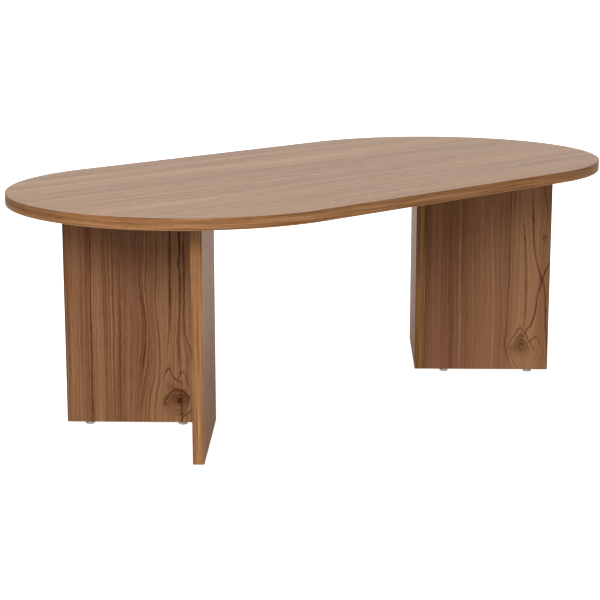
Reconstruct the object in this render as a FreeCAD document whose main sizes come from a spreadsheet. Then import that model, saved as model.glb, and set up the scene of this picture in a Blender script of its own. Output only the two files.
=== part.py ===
import FreeCAD, Part
import math
import os

import Sketcher

# Coffee table: a flat top with two straight sides and two round ends, on two V-shaped board legs.
# X runs along the table, Y across it and Z up. The origin is on the floor under the middle.

# Driving dimensions, in millimetres, with angles in degrees
SIZES = {
    "top_length": 1170,            # overall, from round end to round end
    "top_width": 600,              # between the two straight sides
    "table_height": 400,           # floor to upper face
    "board_thickness": 18,         # finished thickness of the top and of every leg panel
    "sheet_thickness": 0.6,        # wood-decor sheet pressed on each face of a board
    "top_band_thickness": 2,       # band round the edge of the top
    "top_band_rounding": 1,        # rounding of the upper and lower rim of that band
    "leg_side": 246,               # outer length of each side of a V leg
    "leg_setback": 341,            # round end of the top to the outer corner of a leg
    "leg_turn": 45,                # angle between each leg panel and the length of the table
    "leg_band_thickness": 1,       # band on the upright edges of the panels
    "leg_band_rounding": 0.6,      # rounding of the upright rims of those bands
    "glide_height": 5,             # floor to the lower edge of the panels
    "glide_diameter": 15,
    "glide_rounding": 1,
    "glide_inset": 36.5,           # end of a panel to the middle of its glide
    "glide_recess_depth": 1.5,     # pocket under the glide for the head of the nail
    "nail_diameter": 2,
    "nail_length": 18,             # under the head
    "nail_tip_length": 3,
    "nail_head_diameter": 6,
    "nail_head_height": 0.8,
    "nail_clearance": 0.1,         # added to the diameter of every hole round a nail
    "dowel_diameter": 8,
    "dowel_length": 30,
    "dowel_chamfer": 1,
    "dowel_clearance": 0.1,        # added to the diameter of every dowel hole
    "corner_dowel_depth": 12,      # reach of a corner dowel into the through panel
    "corner_dowel_margin": 60,     # first and last corner dowel from the ends of the joint
    "top_dowel_depth": 10,         # reach of a top dowel into the top
    "top_dowel_inset": 50,         # end of a panel to the middle of its dowel
    "bracket_width": 40,
    "bracket_drop": 24,            # upright flange, on the panel
    "bracket_reach": 28,           # level flange, under the top
    "bracket_thickness": 2,
    "bracket_bend": 1,             # inside radius of the bend
    "bracket_corner_radius": 4,
    "bracket_hole_spacing": 22,
    "bracket_hole_drop": 14,       # underside of the top to the holes of the upright flange
    "bracket_hole_reach": 18,      # face of the panel to the holes of the level flange
    "bracket_hole_clearance": 0.4,  # added to the diameter of the screw
    "screw_diameter": 4,
    "screw_length": 14,            # under the head
    "screw_tip_length": 3,
    "screw_head_diameter": 8,
    "screw_head_height": 2.4,
    "screw_head_rounding": 1.4,
    "screw_slot_length": 4.4,
    "screw_slot_width": 1,
    "screw_slot_depth": 1.2,
    "screw_clearance": 0.1,        # added to the diameter of the hole round the thread
    "end_gap": 0.5,                # room left beyond the end of every dowel, nail and screw
}
CORNER_DOWELS = 3
LARGEST_ROUNDING = 0.9             # part of a wall that a rounding may take at most
TOLERANCE = 0.001                  # lengths closer than this count as equal

doc = FreeCAD.newDocument("coffee_table")
dims = doc.addObject("Spreadsheet::Sheet", "dims")
for row, (alias, size) in enumerate(SIZES.items(), start=1):
    dims.set(f"A{row}", alias)
    dims.set(f"B{row}", str(size))
    dims.setAlias(f"B{row}", alias)
doc.recompute()

# Heights and thicknesses that many pieces share, as formulas on the driving dimensions
BOARD = "dims.board_thickness"
SHEET = "dims.sheet_thickness"
BAND = "dims.leg_band_thickness"
SIDE = "dims.leg_side"
PANEL_BOTTOM = "dims.glide_height"
UNDERSIDE = f"(dims.table_height - {BOARD})"
PANEL_HEIGHT = f"({UNDERSIDE} - {PANEL_BOTTOM})"
MID_BOARD = f"({BOARD} / 2)"
INNER_FACE = f"({BOARD} - {SHEET})"
LEG_PLACE = "(dims.top_length / 2 - dims.leg_setback)"

# Each leg has its own frame: origin at the outer corner of the V on the floor, X along the butt
# panel, Y along the through panel. The two legs are one leg turned half a turn about the middle.
LEGS = {
    "left_leg": {"x": f"-{LEG_PLACE}", "turn": "180 - dims.leg_turn"},
    "right_leg": {"x": LEG_PLACE, "turn": "-dims.leg_turn"},
}
PANEL_START = {"through": "0", "butt": BOARD}

subparts = []


def number(formula):
    """The present value of a formula."""
    return float(dims.evalExpression(formula))


def bind(thing, formulas):
    """Tie properties of an object to formulas."""
    for name, formula in formulas.items():
        thing.setExpression(name, formula)


def place_in_leg(thing, leg):
    """Carry a piece from the frame of its leg into the frame of the table."""
    bind(thing, {"Placement.Base.x": LEGS[leg]["x"], "Placement.Rotation.Angle": LEGS[leg]["turn"]})


def new_body(name):
    body = doc.addObject("PartDesign::Body", name)
    body.Label = name
    doc.recompute()
    return body


def keep(piece):
    """Put a finished piece on the list of sub-parts."""
    subparts.append(piece)
    return piece


def new_sketch(body, role, offset=("0", "0", "0"), turn="0"):
    """A sketch on a plane of the body's origin, moved in that plane's own axes."""
    plane = [feature for feature in body.Origin.OriginFeatures if feature.Role == role][0]
    sketch = body.newObject("Sketcher::SketchObject", f"{body.Label}_sketch")
    sketch.AttachmentSupport = [(plane, "")]
    sketch.MapMode = "FlatFace"
    bind(sketch, {
        "AttachmentOffset.Base.x": offset[0],
        "AttachmentOffset.Base.y": offset[1],
        "AttachmentOffset.Base.z": offset[2],
        "AttachmentOffset.Rotation.Angle": turn,
    })
    return sketch


def constrain(sketch, formula, kind, *places):
    """Add a dimension to a sketch and tie it to a formula."""
    name = f"size{sketch.ConstraintCount}"
    index = sketch.addConstraint(Sketcher.Constraint(kind, *places, number(formula)))
    sketch.renameConstraint(index, name)
    sketch.setExpression(f"Constraints.{name}", formula)


def add_circle(sketch, x, y, diameter):
    """A circle whose middle lies at x, y in the sketch."""
    middle = FreeCAD.Vector(number(x), number(y), 0)
    circle = Part.Circle(middle, FreeCAD.Vector(0, 0, 1), number(diameter) / 2)
    index = sketch.addGeometry(circle, False)
    constrain(sketch, x, "DistanceX", -1, 1, index, 3)
    constrain(sketch, y, "DistanceY", -1, 1, index, 3)
    constrain(sketch, diameter, "Diameter", index)


def add_outline(sketch, corners):
    """A closed outline of straight lines through corners given as pairs of formulas."""
    points = [FreeCAD.Vector(number(x), number(y), 0) for x, y in corners]
    lines = []
    for start, end in zip(points, points[1:] + points[:1]):
        lines.append(sketch.addGeometry(Part.LineSegment(start, end), False))
    for line, following in zip(lines, lines[1:] + lines[:1]):
        sketch.addConstraint(Sketcher.Constraint("Coincident", line, 2, following, 1))
    for line, (x, y) in zip(lines, corners):
        constrain(sketch, x, "DistanceX", -1, 1, line, 1)
        constrain(sketch, y, "DistanceY", -1, 1, line, 1)


def add_stadium(sketch, length, width):
    """Two straight sides joined by half circles, centred on the sketch."""
    radius = number(width) / 2
    reach = number(length) / 2 - radius
    up = FreeCAD.Vector(0, 0, 1)
    quarter = math.pi / 2
    right = Part.Circle(FreeCAD.Vector(reach, 0, 0), up, radius)
    left = Part.Circle(FreeCAD.Vector(-reach, 0, 0), up, radius)
    near = Part.LineSegment(FreeCAD.Vector(-reach, -radius, 0), FreeCAD.Vector(reach, -radius, 0))
    far = Part.LineSegment(FreeCAD.Vector(reach, radius, 0), FreeCAD.Vector(-reach, radius, 0))
    pieces = [
        near,
        Part.ArcOfCircle(right, -quarter, quarter),
        far,
        Part.ArcOfCircle(left, quarter, 3 * quarter),
    ]
    ring = [sketch.addGeometry(piece, False) for piece in pieces]
    for piece, following in zip(ring, ring[1:] + ring[:1]):
        sketch.addConstraint(Sketcher.Constraint("Tangent", piece, 2, following, 1))
    sketch.addConstraint(Sketcher.Constraint("Horizontal", ring[0]))
    sketch.addConstraint(Sketcher.Constraint("Symmetric", ring[1], 3, ring[3], 3, -1, 1))
    constrain(sketch, f"{width} / 2", "Radius", ring[1])
    constrain(sketch, f"{length} - {width}", "DistanceX", ring[3], 3, ring[1], 3)


def pad(body, sketch, height):
    """Raise the sketch's outline into a solid."""
    feature = body.newObject("PartDesign::Pad", f"{body.Label}_pad")
    feature.Profile = sketch
    bind(feature, {"Length": height})
    doc.recompute()
    return feature


def revolve(body, sketch):
    """Turn the sketch's outline once round its upright axis."""
    feature = body.newObject("PartDesign::Revolution", f"{body.Label}_turning")
    feature.Profile = sketch
    feature.ReferenceAxis = (sketch, ["V_Axis"])
    feature.Angle = 360
    doc.recompute()
    return feature


def cut(body, sketch, depth, along_normal):
    """Sink the sketch's outline into the solid, along the sketch's normal or against it."""
    before = body.Shape.Volume
    feature = body.newObject("PartDesign::Pocket", f"{body.Label}_pocket")
    feature.Profile = sketch
    feature.Reversed = along_normal
    bind(feature, {"Length": depth})
    doc.recompute()
    if body.Shape.Volume >= before:
        raise ValueError(f"a pocket of {body.Label} cuts nothing")


def round_edges(body, radius, is_wanted):
    """Round every edge of the body that the test picks by its midpoint and direction."""
    base = body.Tip
    names = []
    for index, edge in enumerate(base.Shape.Edges, start=1):
        middle = edge.valueAt((edge.FirstParameter + edge.LastParameter) / 2)
        if is_wanted(edge, middle):
            names.append(f"Edge{index}")
    feature = body.newObject("PartDesign::Fillet", f"{body.Label}_rounding")
    feature.Base = (base, names)
    bind(feature, {"Radius": radius})
    doc.recompute()


def is_near(first, second):
    return abs(first - second) < TOLERANCE


def is_upright(edge):
    return len(edge.Vertexes) == 2 and is_near(edge.BoundBox.ZLength, edge.Length)


# Points of a leg, in the frame of the leg
def leg_point(panel, along, across):
    """A place on a panel: along it from the corner of the V, across it from its outer face."""
    if panel == "through":
        return across, along
    return along, across


def both_ends(panel, inset):
    """The two places along a panel that lie this far from its ends."""
    return [f"({PANEL_START[panel]} + {inset})", f"({SIDE} - {inset})"]


def bracket_holes_along():
    """The two places along a panel where the screws of its bracket stand."""
    middle = f"({BOARD} + {SIDE}) / 2"
    return [f"({middle} {sign} dims.bracket_hole_spacing / 2)" for sign in "-+"]


def corner_dowel_heights():
    """Heights of the corner dowels, spread evenly up the joint."""
    span = f"({PANEL_HEIGHT} - 2 * dims.corner_dowel_margin)"
    lowest = f"{PANEL_BOTTOM} + dims.corner_dowel_margin"
    gaps = CORNER_DOWELS - 1
    return [f"({lowest} + {span} * {step} / {gaps})" for step in range(CORNER_DOWELS)]


# Fastener patterns: one of each, copied into groups further on
def make_dowel():
    body = new_body("dowel")
    sketch = new_sketch(body, "XZ_Plane")
    radius = "dims.dowel_diameter / 2"
    slim = f"{radius} - dims.dowel_chamfer"
    length = "dims.dowel_length"
    add_outline(sketch, [
        ("0", "0"),
        (slim, "0"),
        (radius, "dims.dowel_chamfer"),
        (radius, f"{length} - dims.dowel_chamfer"),
        (slim, length),
        ("0", length),
    ])
    revolve(body, sketch)
    return body


def make_pin(name):
    """A nail or screw blank: head on the floor of its frame, tip up."""
    body = new_body(name)
    sketch = new_sketch(body, "XZ_Plane")
    head_radius = f"dims.{name}_head_diameter / 2"
    radius = f"dims.{name}_diameter / 2"
    seat = f"dims.{name}_head_height"
    end = f"{seat} + dims.{name}_length"
    add_outline(sketch, [
        ("0", "0"),
        (head_radius, "0"),
        (head_radius, seat),
        (radius, seat),
        (radius, f"{end} - dims.{name}_tip_length"),
        ("0", end),
    ])
    revolve(body, sketch)
    return body


def make_screw():
    """A pan-head wood screw with a cross slot."""
    body = make_pin("screw")
    rounding = f"min(dims.screw_head_rounding; {LARGEST_ROUNDING} * dims.screw_head_height)"
    round_edges(body, rounding, lambda edge, middle: len(edge.Vertexes) == 1 and is_near(middle.z, 0))
    for length, width in (("length", "width"), ("width", "length")):
        size_x = f"dims.screw_slot_{length}"
        size_y = f"dims.screw_slot_{width}"
        sketch = new_sketch(body, "XY_Plane", (f"-{size_x} / 2", f"-{size_y} / 2", "0"))
        add_outline(sketch, [("0", "0"), (size_x, "0"), (size_x, size_y), ("0", size_y)])
        cut(body, sketch, "dims.screw_slot_depth", True)
    return body


def make_glide():
    """A round plastic foot with a hole for its nail and a pocket for the nail's head."""
    body = new_body("glide")
    sketch = new_sketch(body, "XZ_Plane")
    pocket = "(dims.nail_head_diameter + dims.nail_clearance) / 2"
    bore = "(dims.nail_diameter + dims.nail_clearance) / 2"
    recess = "dims.glide_recess_depth"
    rim = "dims.glide_diameter / 2"
    add_outline(sketch, [
        (pocket, "0"),
        (rim, "0"),
        (rim, "dims.glide_height"),
        (bore, "dims.glide_height"),
        (bore, recess),
        (pocket, recess),
    ])
    revolve(body, sketch)
    reach = number(rim)
    round_edges(body, "dims.glide_rounding", lambda edge, middle: is_near(middle.z, 0)
                and len(edge.Vertexes) == 1 and is_near(edge.Curve.Radius, reach))
    return body


def make_bracket():
    """An angle bracket: upright flange on the panel at x = 0, level flange under the top."""
    body = new_body("bracket")
    width = "dims.bracket_width"
    drop = "dims.bracket_drop"
    reach = "dims.bracket_reach"
    metal = "dims.bracket_thickness"
    hole = "dims.screw_diameter + dims.bracket_hole_clearance"
    first = f"({width} - dims.bracket_hole_spacing) / 2"
    second = f"({width} + dims.bracket_hole_spacing) / 2"
    profile = new_sketch(body, "XZ_Plane", ("0", "0", f"-{width} / 2"))
    add_outline(profile, [
        ("0", "0"),
        (metal, "0"),
        (metal, f"{drop} - {metal}"),
        (reach, f"{drop} - {metal}"),
        (reach, drop),
        ("0", drop),
    ])
    pad(body, profile, width)
    upright = new_sketch(body, "YZ_Plane", (f"-{width} / 2", "0", metal))
    level = new_sketch(body, "XY_Plane", ("0", f"-{width} / 2", drop))
    for place in (first, second):
        add_circle(upright, place, f"{drop} - dims.bracket_hole_drop", hole)
        add_circle(level, "dims.bracket_hole_reach", place, hole)
    cut(body, upright, metal, False)
    cut(body, level, metal, False)

    wall = number(metal)
    top = number(drop)
    far = number(reach)
    round_edges(body, f"dims.bracket_bend + {metal}", lambda edge, middle: is_near(middle.x, 0)
                and is_near(middle.z, top) and is_near(edge.BoundBox.YLength, edge.Length))
    round_edges(body, "dims.bracket_bend", lambda edge, middle: is_near(middle.x, wall)
                and is_near(middle.z, top - wall) and is_near(edge.BoundBox.YLength, edge.Length))
    round_edges(body, "dims.bracket_corner_radius", lambda edge, middle:
                (is_near(middle.z, 0) and is_near(edge.BoundBox.XLength, edge.Length))
                or (is_near(middle.x, far) and is_upright(edge)))
    return body


dowel = make_dowel()
nail = make_pin("nail")
screw = make_screw()
glide = make_glide()
bracket = make_bracket()


def make_group(name, pattern, places, leg):
    """Copies of a pattern at places in the frame of a leg: three formulas, an axis and an angle."""
    copies = []
    for x, y, z, axis, angle in places:
        copy = doc.addObject("App::Link", f"{name}_copy")
        copy.LinkedObject = pattern
        copy.LinkTransform = False
        copy.Placement = FreeCAD.Placement(FreeCAD.Vector(0, 0, 0), FreeCAD.Rotation(axis, angle))
        bind(copy, {"Placement.Base.x": x, "Placement.Base.y": y, "Placement.Base.z": z})
        copies.append(copy)
    group = doc.addObject("Part::Compound", name)
    group.Label = name
    group.Links = copies
    place_in_leg(group, leg)
    return keep(group)


# Sketches of the holes that a leg needs in its panels and in the top
def top_dowel_sketch(body, height, panels, leg=None):
    """Holes for the top dowels, on a level plane."""
    frame = {"x": "0", "turn": "0"} if leg is None else LEGS[leg]
    sketch = new_sketch(body, "XY_Plane", (frame["x"], "0", height), frame["turn"])
    for panel in panels:
        for along in both_ends(panel, "dims.top_dowel_inset"):
            x, y = leg_point(panel, along, MID_BOARD)
            add_circle(sketch, x, y, "dims.dowel_diameter + dims.dowel_clearance")
    return sketch


def top_screw_sketch(body, leg):
    """Holes for the screws of both brackets of a leg, in the underside of the top."""
    sketch = new_sketch(body, "XY_Plane", (LEGS[leg]["x"], "0", UNDERSIDE), LEGS[leg]["turn"])
    for panel in PANEL_START:
        for along in bracket_holes_along():
            x, y = leg_point(panel, along, f"{BOARD} + dims.bracket_hole_reach")
            add_circle(sketch, x, y, "dims.screw_diameter + dims.screw_clearance")
    return sketch


def nail_sketch(body, panel):
    """Holes for the glide nails, in the lower edge of a panel."""
    sketch = new_sketch(body, "XY_Plane", ("0", "0", PANEL_BOTTOM))
    for along in both_ends(panel, "dims.glide_inset"):
        x, y = leg_point(panel, along, MID_BOARD)
        add_circle(sketch, x, y, "dims.nail_diameter + dims.nail_clearance")
    return sketch


def side_screw_sketch(body, panel):
    """Holes for the bracket screws, in the inner face of a panel."""
    if panel == "through":
        sketch = new_sketch(body, "YZ_Plane", ("0", "0", BOARD))
    else:
        sketch = new_sketch(body, "XZ_Plane", ("0", "0", f"-{BOARD}"))
    for along in bracket_holes_along():
        height = f"{UNDERSIDE} - dims.bracket_hole_drop"
        add_circle(sketch, along, height, "dims.screw_diameter + dims.screw_clearance")
    return sketch


def corner_dowel_sketch(body):
    """Holes for the corner dowels, on the plane where the butt panel meets the through panel."""
    sketch = new_sketch(body, "YZ_Plane", ("0", "0", BOARD))
    for height in corner_dowel_heights():
        add_circle(sketch, MID_BOARD, height, "dims.dowel_diameter + dims.dowel_clearance")
    return sketch


SCREW_HOLE_DEPTH = "dims.screw_length - dims.bracket_thickness + dims.end_gap"
NAIL_HOLE_DEPTH = "dims.nail_length + dims.glide_recess_depth - dims.glide_height + dims.end_gap"
CORNER_DEPTH_THROUGH = "dims.corner_dowel_depth + dims.end_gap"
CORNER_DEPTH_BUTT = "dims.dowel_length - dims.corner_dowel_depth + dims.end_gap"
TOP_DEPTH_IN_TOP = "dims.top_dowel_depth + dims.end_gap"
TOP_DEPTH_IN_PANEL = "dims.dowel_length - dims.top_dowel_depth + dims.end_gap"


# The top: core, two sheets and a band
def make_top_layer(name, bottom, height):
    """A slab of the top inside its band."""
    body = new_body(name)
    sketch = new_sketch(body, "XY_Plane", ("0", "0", bottom))
    band = "2 * dims.top_band_thickness"
    add_stadium(sketch, f"(dims.top_length - {band})", f"(dims.top_width - {band})")
    pad(body, sketch, height)
    return keep(body)


def drill_top(body):
    """Dowel and screw holes for both legs, from the underside up."""
    for leg in LEGS:
        cut(body, top_dowel_sketch(body, UNDERSIDE, PANEL_START, leg), TOP_DEPTH_IN_TOP, True)
        cut(body, top_screw_sketch(body, leg), SCREW_HOLE_DEPTH, True)


def make_top_band():
    body = new_body("top_edge_band")
    sketch = new_sketch(body, "XY_Plane", ("0", "0", UNDERSIDE))
    band = "2 * dims.top_band_thickness"
    add_stadium(sketch, "dims.top_length", "dims.top_width")
    add_stadium(sketch, f"(dims.top_length - {band})", f"(dims.top_width - {band})")
    pad(body, sketch, BOARD)
    half_width = number("dims.top_width") / 2
    half_length = number("dims.top_length") / 2
    round_edges(body, f"min(dims.top_band_rounding; {LARGEST_ROUNDING} * dims.top_band_thickness)",
                lambda edge, middle: is_near(edge.BoundBox.ZLength, 0)
                and (is_near(abs(middle.y), half_width) or is_near(abs(middle.x), half_length)))
    return keep(body)


top_core = make_top_layer("top_core", f"{UNDERSIDE} + {SHEET}", f"{BOARD} - 2 * {SHEET}")
drill_top(top_core)
top_backing = make_top_layer("top_backing_sheet", UNDERSIDE, SHEET)
drill_top(top_backing)
make_top_layer("top_face_sheet", f"dims.table_height - {SHEET}", SHEET)
make_top_band()


# The legs: boards in the frame of the leg, then carried to their place under the top
def make_board(leg, panel, piece, along, across):
    """An upright board; along and across each give a start and a size."""
    body = new_body(f"{leg}_{panel}_{piece}")
    start_x, start_y = leg_point(panel, along[0], across[0])
    size_x, size_y = leg_point(panel, along[1], across[1])
    sketch = new_sketch(body, "XY_Plane", (start_x, start_y, PANEL_BOTTOM))
    add_outline(sketch, [("0", "0"), (size_x, "0"), (size_x, size_y), ("0", size_y)])
    pad(body, sketch, PANEL_HEIGHT)
    place_in_leg(body, leg)
    return keep(body)


def make_leg_band(leg, panel, end, start, outer_face):
    """A band on an upright edge of a panel, with its two outer rims rounded."""
    body = make_board(leg, panel, f"{end}_band", (start, BAND), ("0", BOARD))
    axis = 1 if panel == "through" else 0
    reach = number(outer_face)
    round_edges(body, f"min(dims.leg_band_rounding; {LARGEST_ROUNDING} * {BAND})",
                lambda edge, middle: is_upright(edge) and is_near(middle[axis], reach))


def drill_panel(body, panel):
    """Dowel, nail and screw holes of a panel's core."""
    cut(body, top_dowel_sketch(body, UNDERSIDE, [panel]), TOP_DEPTH_IN_PANEL, False)
    cut(body, nail_sketch(body, panel), NAIL_HOLE_DEPTH, True)
    cut(body, side_screw_sketch(body, panel), SCREW_HOLE_DEPTH, panel == "butt")


def make_through_panel(leg):
    """The panel that runs through to the corner of the V, banded at both ends."""
    along = (BAND, f"{SIDE} - 2 * {BAND}")
    core = make_board(leg, "through", "core", along, (SHEET, f"{BOARD} - 2 * {SHEET}"))
    drill_panel(core, "through")
    cut(core, corner_dowel_sketch(core), CORNER_DEPTH_THROUGH, False)
    make_board(leg, "through", "outer_sheet", along, ("0", SHEET))
    inner = make_board(leg, "through", "inner_sheet", along, (INNER_FACE, SHEET))
    cut(inner, side_screw_sketch(inner, "through"), SHEET, False)
    cut(inner, corner_dowel_sketch(inner), SHEET, False)
    make_leg_band(leg, "through", "corner", "0", "0")
    make_leg_band(leg, "through", "open", f"{SIDE} - {BAND}", SIDE)


def make_butt_panel(leg):
    """The panel that stops against the through panel, banded at its open end."""
    along = (BOARD, f"{SIDE} - {BOARD} - {BAND}")
    core = make_board(leg, "butt", "core", along, (SHEET, f"{BOARD} - 2 * {SHEET}"))
    drill_panel(core, "butt")
    cut(core, corner_dowel_sketch(core), CORNER_DEPTH_BUTT, True)
    make_board(leg, "butt", "outer_sheet", along, ("0", SHEET))
    inner = make_board(leg, "butt", "inner_sheet", along, (INNER_FACE, SHEET))
    cut(inner, side_screw_sketch(inner, "butt"), SHEET, True)
    make_leg_band(leg, "butt", "open", f"{SIDE} - {BAND}", SIDE)


# Fasteners and feet of a leg
X_AXIS = FreeCAD.Vector(1, 0, 0)
Y_AXIS = FreeCAD.Vector(0, 1, 0)
Z_AXIS = FreeCAD.Vector(0, 0, 1)
INTO_PANEL = {"through": (Y_AXIS, -90), "butt": (X_AXIS, 90)}
BRACKET_TURN = {"through": 0, "butt": 90}


def make_leg_hardware(leg):
    corner_start = f"{BOARD} - dims.corner_dowel_depth"
    make_group(f"{leg}_corner_dowels", dowel, [
        (corner_start, MID_BOARD, height, Y_AXIS, 90) for height in corner_dowel_heights()
    ], leg)

    dowel_start = f"{UNDERSIDE} + dims.top_dowel_depth - dims.dowel_length"
    nail_start = "dims.glide_recess_depth - dims.nail_head_height"
    head_below_flange = f"{UNDERSIDE} - dims.bracket_thickness - dims.screw_head_height"
    head_off_panel = f"{BOARD} + dims.bracket_thickness + dims.screw_head_height"
    side_height = f"{UNDERSIDE} - dims.bracket_hole_drop"
    top_dowels = []
    glides = []
    nails = []
    top_screws = []
    side_screws = []
    for panel in PANEL_START:
        for along in both_ends(panel, "dims.top_dowel_inset"):
            top_dowels.append((*leg_point(panel, along, MID_BOARD), dowel_start, Z_AXIS, 0))
        for along in both_ends(panel, "dims.glide_inset"):
            glides.append((*leg_point(panel, along, MID_BOARD), "0", Z_AXIS, 0))
            nails.append((*leg_point(panel, along, MID_BOARD), nail_start, Z_AXIS, 0))
        for along in bracket_holes_along():
            under_top = leg_point(panel, along, f"{BOARD} + dims.bracket_hole_reach")
            on_panel = leg_point(panel, along, head_off_panel)
            top_screws.append((*under_top, head_below_flange, Z_AXIS, 0))
            side_screws.append((*on_panel, side_height, *INTO_PANEL[panel]))
        seat = leg_point(panel, f"({BOARD} + {SIDE}) / 2", BOARD)
        hang = f"{UNDERSIDE} - dims.bracket_drop"
        place = (*seat, hang, Z_AXIS, BRACKET_TURN[panel])
        make_group(f"{leg}_{panel}_bracket", bracket, [place], leg)
    make_group(f"{leg}_top_dowels", dowel, top_dowels, leg)
    make_group(f"{leg}_glides", glide, glides, leg)
    make_group(f"{leg}_glide_nails", nail, nails, leg)
    make_group(f"{leg}_top_screws", screw, top_screws, leg)
    make_group(f"{leg}_side_screws", screw, side_screws, leg)


for leg_name in LEGS:
    make_through_panel(leg_name)
    make_butt_panel(leg_name)
    make_leg_hardware(leg_name)
doc.recompute()

# Every object has to be sound before any file is written
for thing in doc.Objects:
    if "Invalid" in thing.State or "Error" in thing.State:
        raise ValueError(f"{thing.Label} failed: {thing.State}")
for piece in subparts:
    if piece.Shape.isNull() or not piece.Shape.isValid():
        raise ValueError(f"{piece.Label} has no sound shape")

os.makedirs("parts", exist_ok=True)
for piece in subparts:
    piece.Shape.exportStep(f"parts/{piece.Label}.step")
    print(f"{piece.Label}: {len(piece.Shape.Solids)} solids, {piece.Shape.Volume / 1000:.2f} cm3")
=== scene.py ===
# %% [markdown]
# This lesson dresses an oval coffee table. The table is flat-pack furniture: chipboard boards faced with
# printed walnut sheets, closed at the edges with plastic bands, and stood on two V-shaped legs. The
# boards, screws and glides come in as a finished model with real sizes, so nothing is drawn again that is
# already right. What Blender adds is the look: the walnut print, the satin lacquer, the bands, the bare
# chipboard below, the zinc and the plastic. Loading the model first means that every later step can ask
# it for sizes.

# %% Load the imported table
import math
from collections import namedtuple

import bmesh
import bpy
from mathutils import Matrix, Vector


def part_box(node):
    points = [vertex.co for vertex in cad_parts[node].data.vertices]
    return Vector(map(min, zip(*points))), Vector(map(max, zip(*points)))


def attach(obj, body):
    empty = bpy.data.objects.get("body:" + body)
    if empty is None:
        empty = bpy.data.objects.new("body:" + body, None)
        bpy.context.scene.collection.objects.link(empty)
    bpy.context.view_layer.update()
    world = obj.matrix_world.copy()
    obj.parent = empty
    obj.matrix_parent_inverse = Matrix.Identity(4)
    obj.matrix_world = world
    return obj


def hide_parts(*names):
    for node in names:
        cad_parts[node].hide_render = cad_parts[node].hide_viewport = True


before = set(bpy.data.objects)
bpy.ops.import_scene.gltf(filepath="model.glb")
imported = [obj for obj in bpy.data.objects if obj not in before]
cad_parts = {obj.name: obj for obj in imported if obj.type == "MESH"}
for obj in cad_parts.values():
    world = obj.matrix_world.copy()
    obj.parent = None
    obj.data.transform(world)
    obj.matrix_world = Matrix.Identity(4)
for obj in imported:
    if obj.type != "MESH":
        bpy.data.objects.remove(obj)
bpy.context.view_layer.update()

# %% [markdown]
# The photograph was taken with a long lens from a little above the table, turned about 45 degrees to it.
# A camera can be placed by eye, but one pixel of error is easily seen on straight furniture. Here its
# place and lens were worked out from the corners of the legs and the outline of the top, and are written
# as plain values. Blender's camera looks down its own -Z axis, so a level camera is tipped up by 90
# degrees first.

# %% Camera at the photograph's angle
PHOTO_SIDE = 600                        # pixels; the photograph is square
FOCAL_LENGTH = 1698.2                   # pixels
SENSOR_WIDTH = 36.0                     # millimetres
CAMERA_PLACE = (-2.0241, -2.0730, 0.8042)
CAMERA_HEADING = math.radians(46.41)    # from +X towards +Y
CAMERA_TILT = math.radians(12.30)       # below level
QUARTER_TURN = math.radians(90)

photo_camera = bpy.data.cameras.new("photo_camera")
photo_camera.sensor_width = SENSOR_WIDTH
photo_camera.lens = SENSOR_WIDTH * FOCAL_LENGTH / PHOTO_SIDE
camera_stand = bpy.data.objects.new("photo_camera", photo_camera)
camera_stand.location = CAMERA_PLACE
camera_stand.rotation_euler = (QUARTER_TURN - CAMERA_TILT, 0, CAMERA_HEADING - QUARTER_TURN)
bpy.context.scene.collection.objects.link(camera_stand)
bpy.context.scene.camera = camera_stand
print("lens:", round(photo_camera.lens, 2), "mm")

# %% [markdown]
# Every finish below, and the white world round the table too, is a tree of shader nodes. Built by hand in
# the editor such a tree is quick to try, but in a script it soon drowns in node names. Four small helpers
# keep the recipes readable: they feed a socket, add a node, do a step of arithmetic, and fade softly from
# one value to another.

# %% Helpers for node recipes
def feed(tree, socket, value):
    """Link a socket to another node's output, or set it to a plain value."""
    if isinstance(value, bpy.types.NodeSocket):
        tree.links.new(value, socket)
    else:
        socket.default_value = value


def add_node(tree, kind, inputs, **settings):
    """Add one node with its settings made and its inputs fed."""
    node = tree.nodes.new(kind)
    for setting, value in settings.items():
        setattr(node, setting, value)
    for name, value in inputs.items():
        feed(tree, node.inputs[name], value)
    return node


def calc(tree, operation, *values):
    """One step of arithmetic on values that change over the surface."""
    return add_node(tree, "ShaderNodeMath", dict(enumerate(values)), operation=operation).outputs[0]


def fade(tree, value, start, end, start_gives=0.0, end_gives=1.0):
    """A soft change from one value to another while the input goes from start to end."""
    return add_node(tree, "ShaderNodeMapRange", {
        "Value": value, "From Min": start, "From Max": end, "To Min": start_gives, "To Max": end_gives,
    }, interpolation_type="SMOOTHSTEP").outputs["Result"]


print("helpers for nodes: feed, add_node, calc, fade")

# %% [markdown]
# Colours are written as the 0 to 255 values that a colour picker shows and are turned into the light
# values that shaders use. A colour that changes over the surface comes from a ramp, which makes it from a
# number, or from a mixture of two colours. A painted image would fix every spot by hand; a ramp keeps the
# few browns of one wood in one short list.

# %% Helpers for colours
def screen(red, green, blue):
    """A colour picker's 0 to 255 values as the light values that shaders use (the sRGB formula)."""
    shares = [value / 255 for value in (red, green, blue)]
    return tuple(s / 12.92 if s <= 0.04045 else ((s + 0.055) / 1.055) ** 2.4 for s in shares)


def tint(tree, value, stops):
    """Colour from a number: stops are (place, colour) pairs in rising order."""
    ramp = add_node(tree, "ShaderNodeValToRGB", {"Fac": value})
    colours = ramp.color_ramp.elements
    for end, (place, colour) in zip(colours, (stops[0], stops[-1])):
        end.position = place
        end.color = (*colour, 1.0)
    for place, colour in stops[1:-1]:
        colours.new(place).color = (*colour, 1.0)
    return ramp.outputs["Color"]


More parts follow.
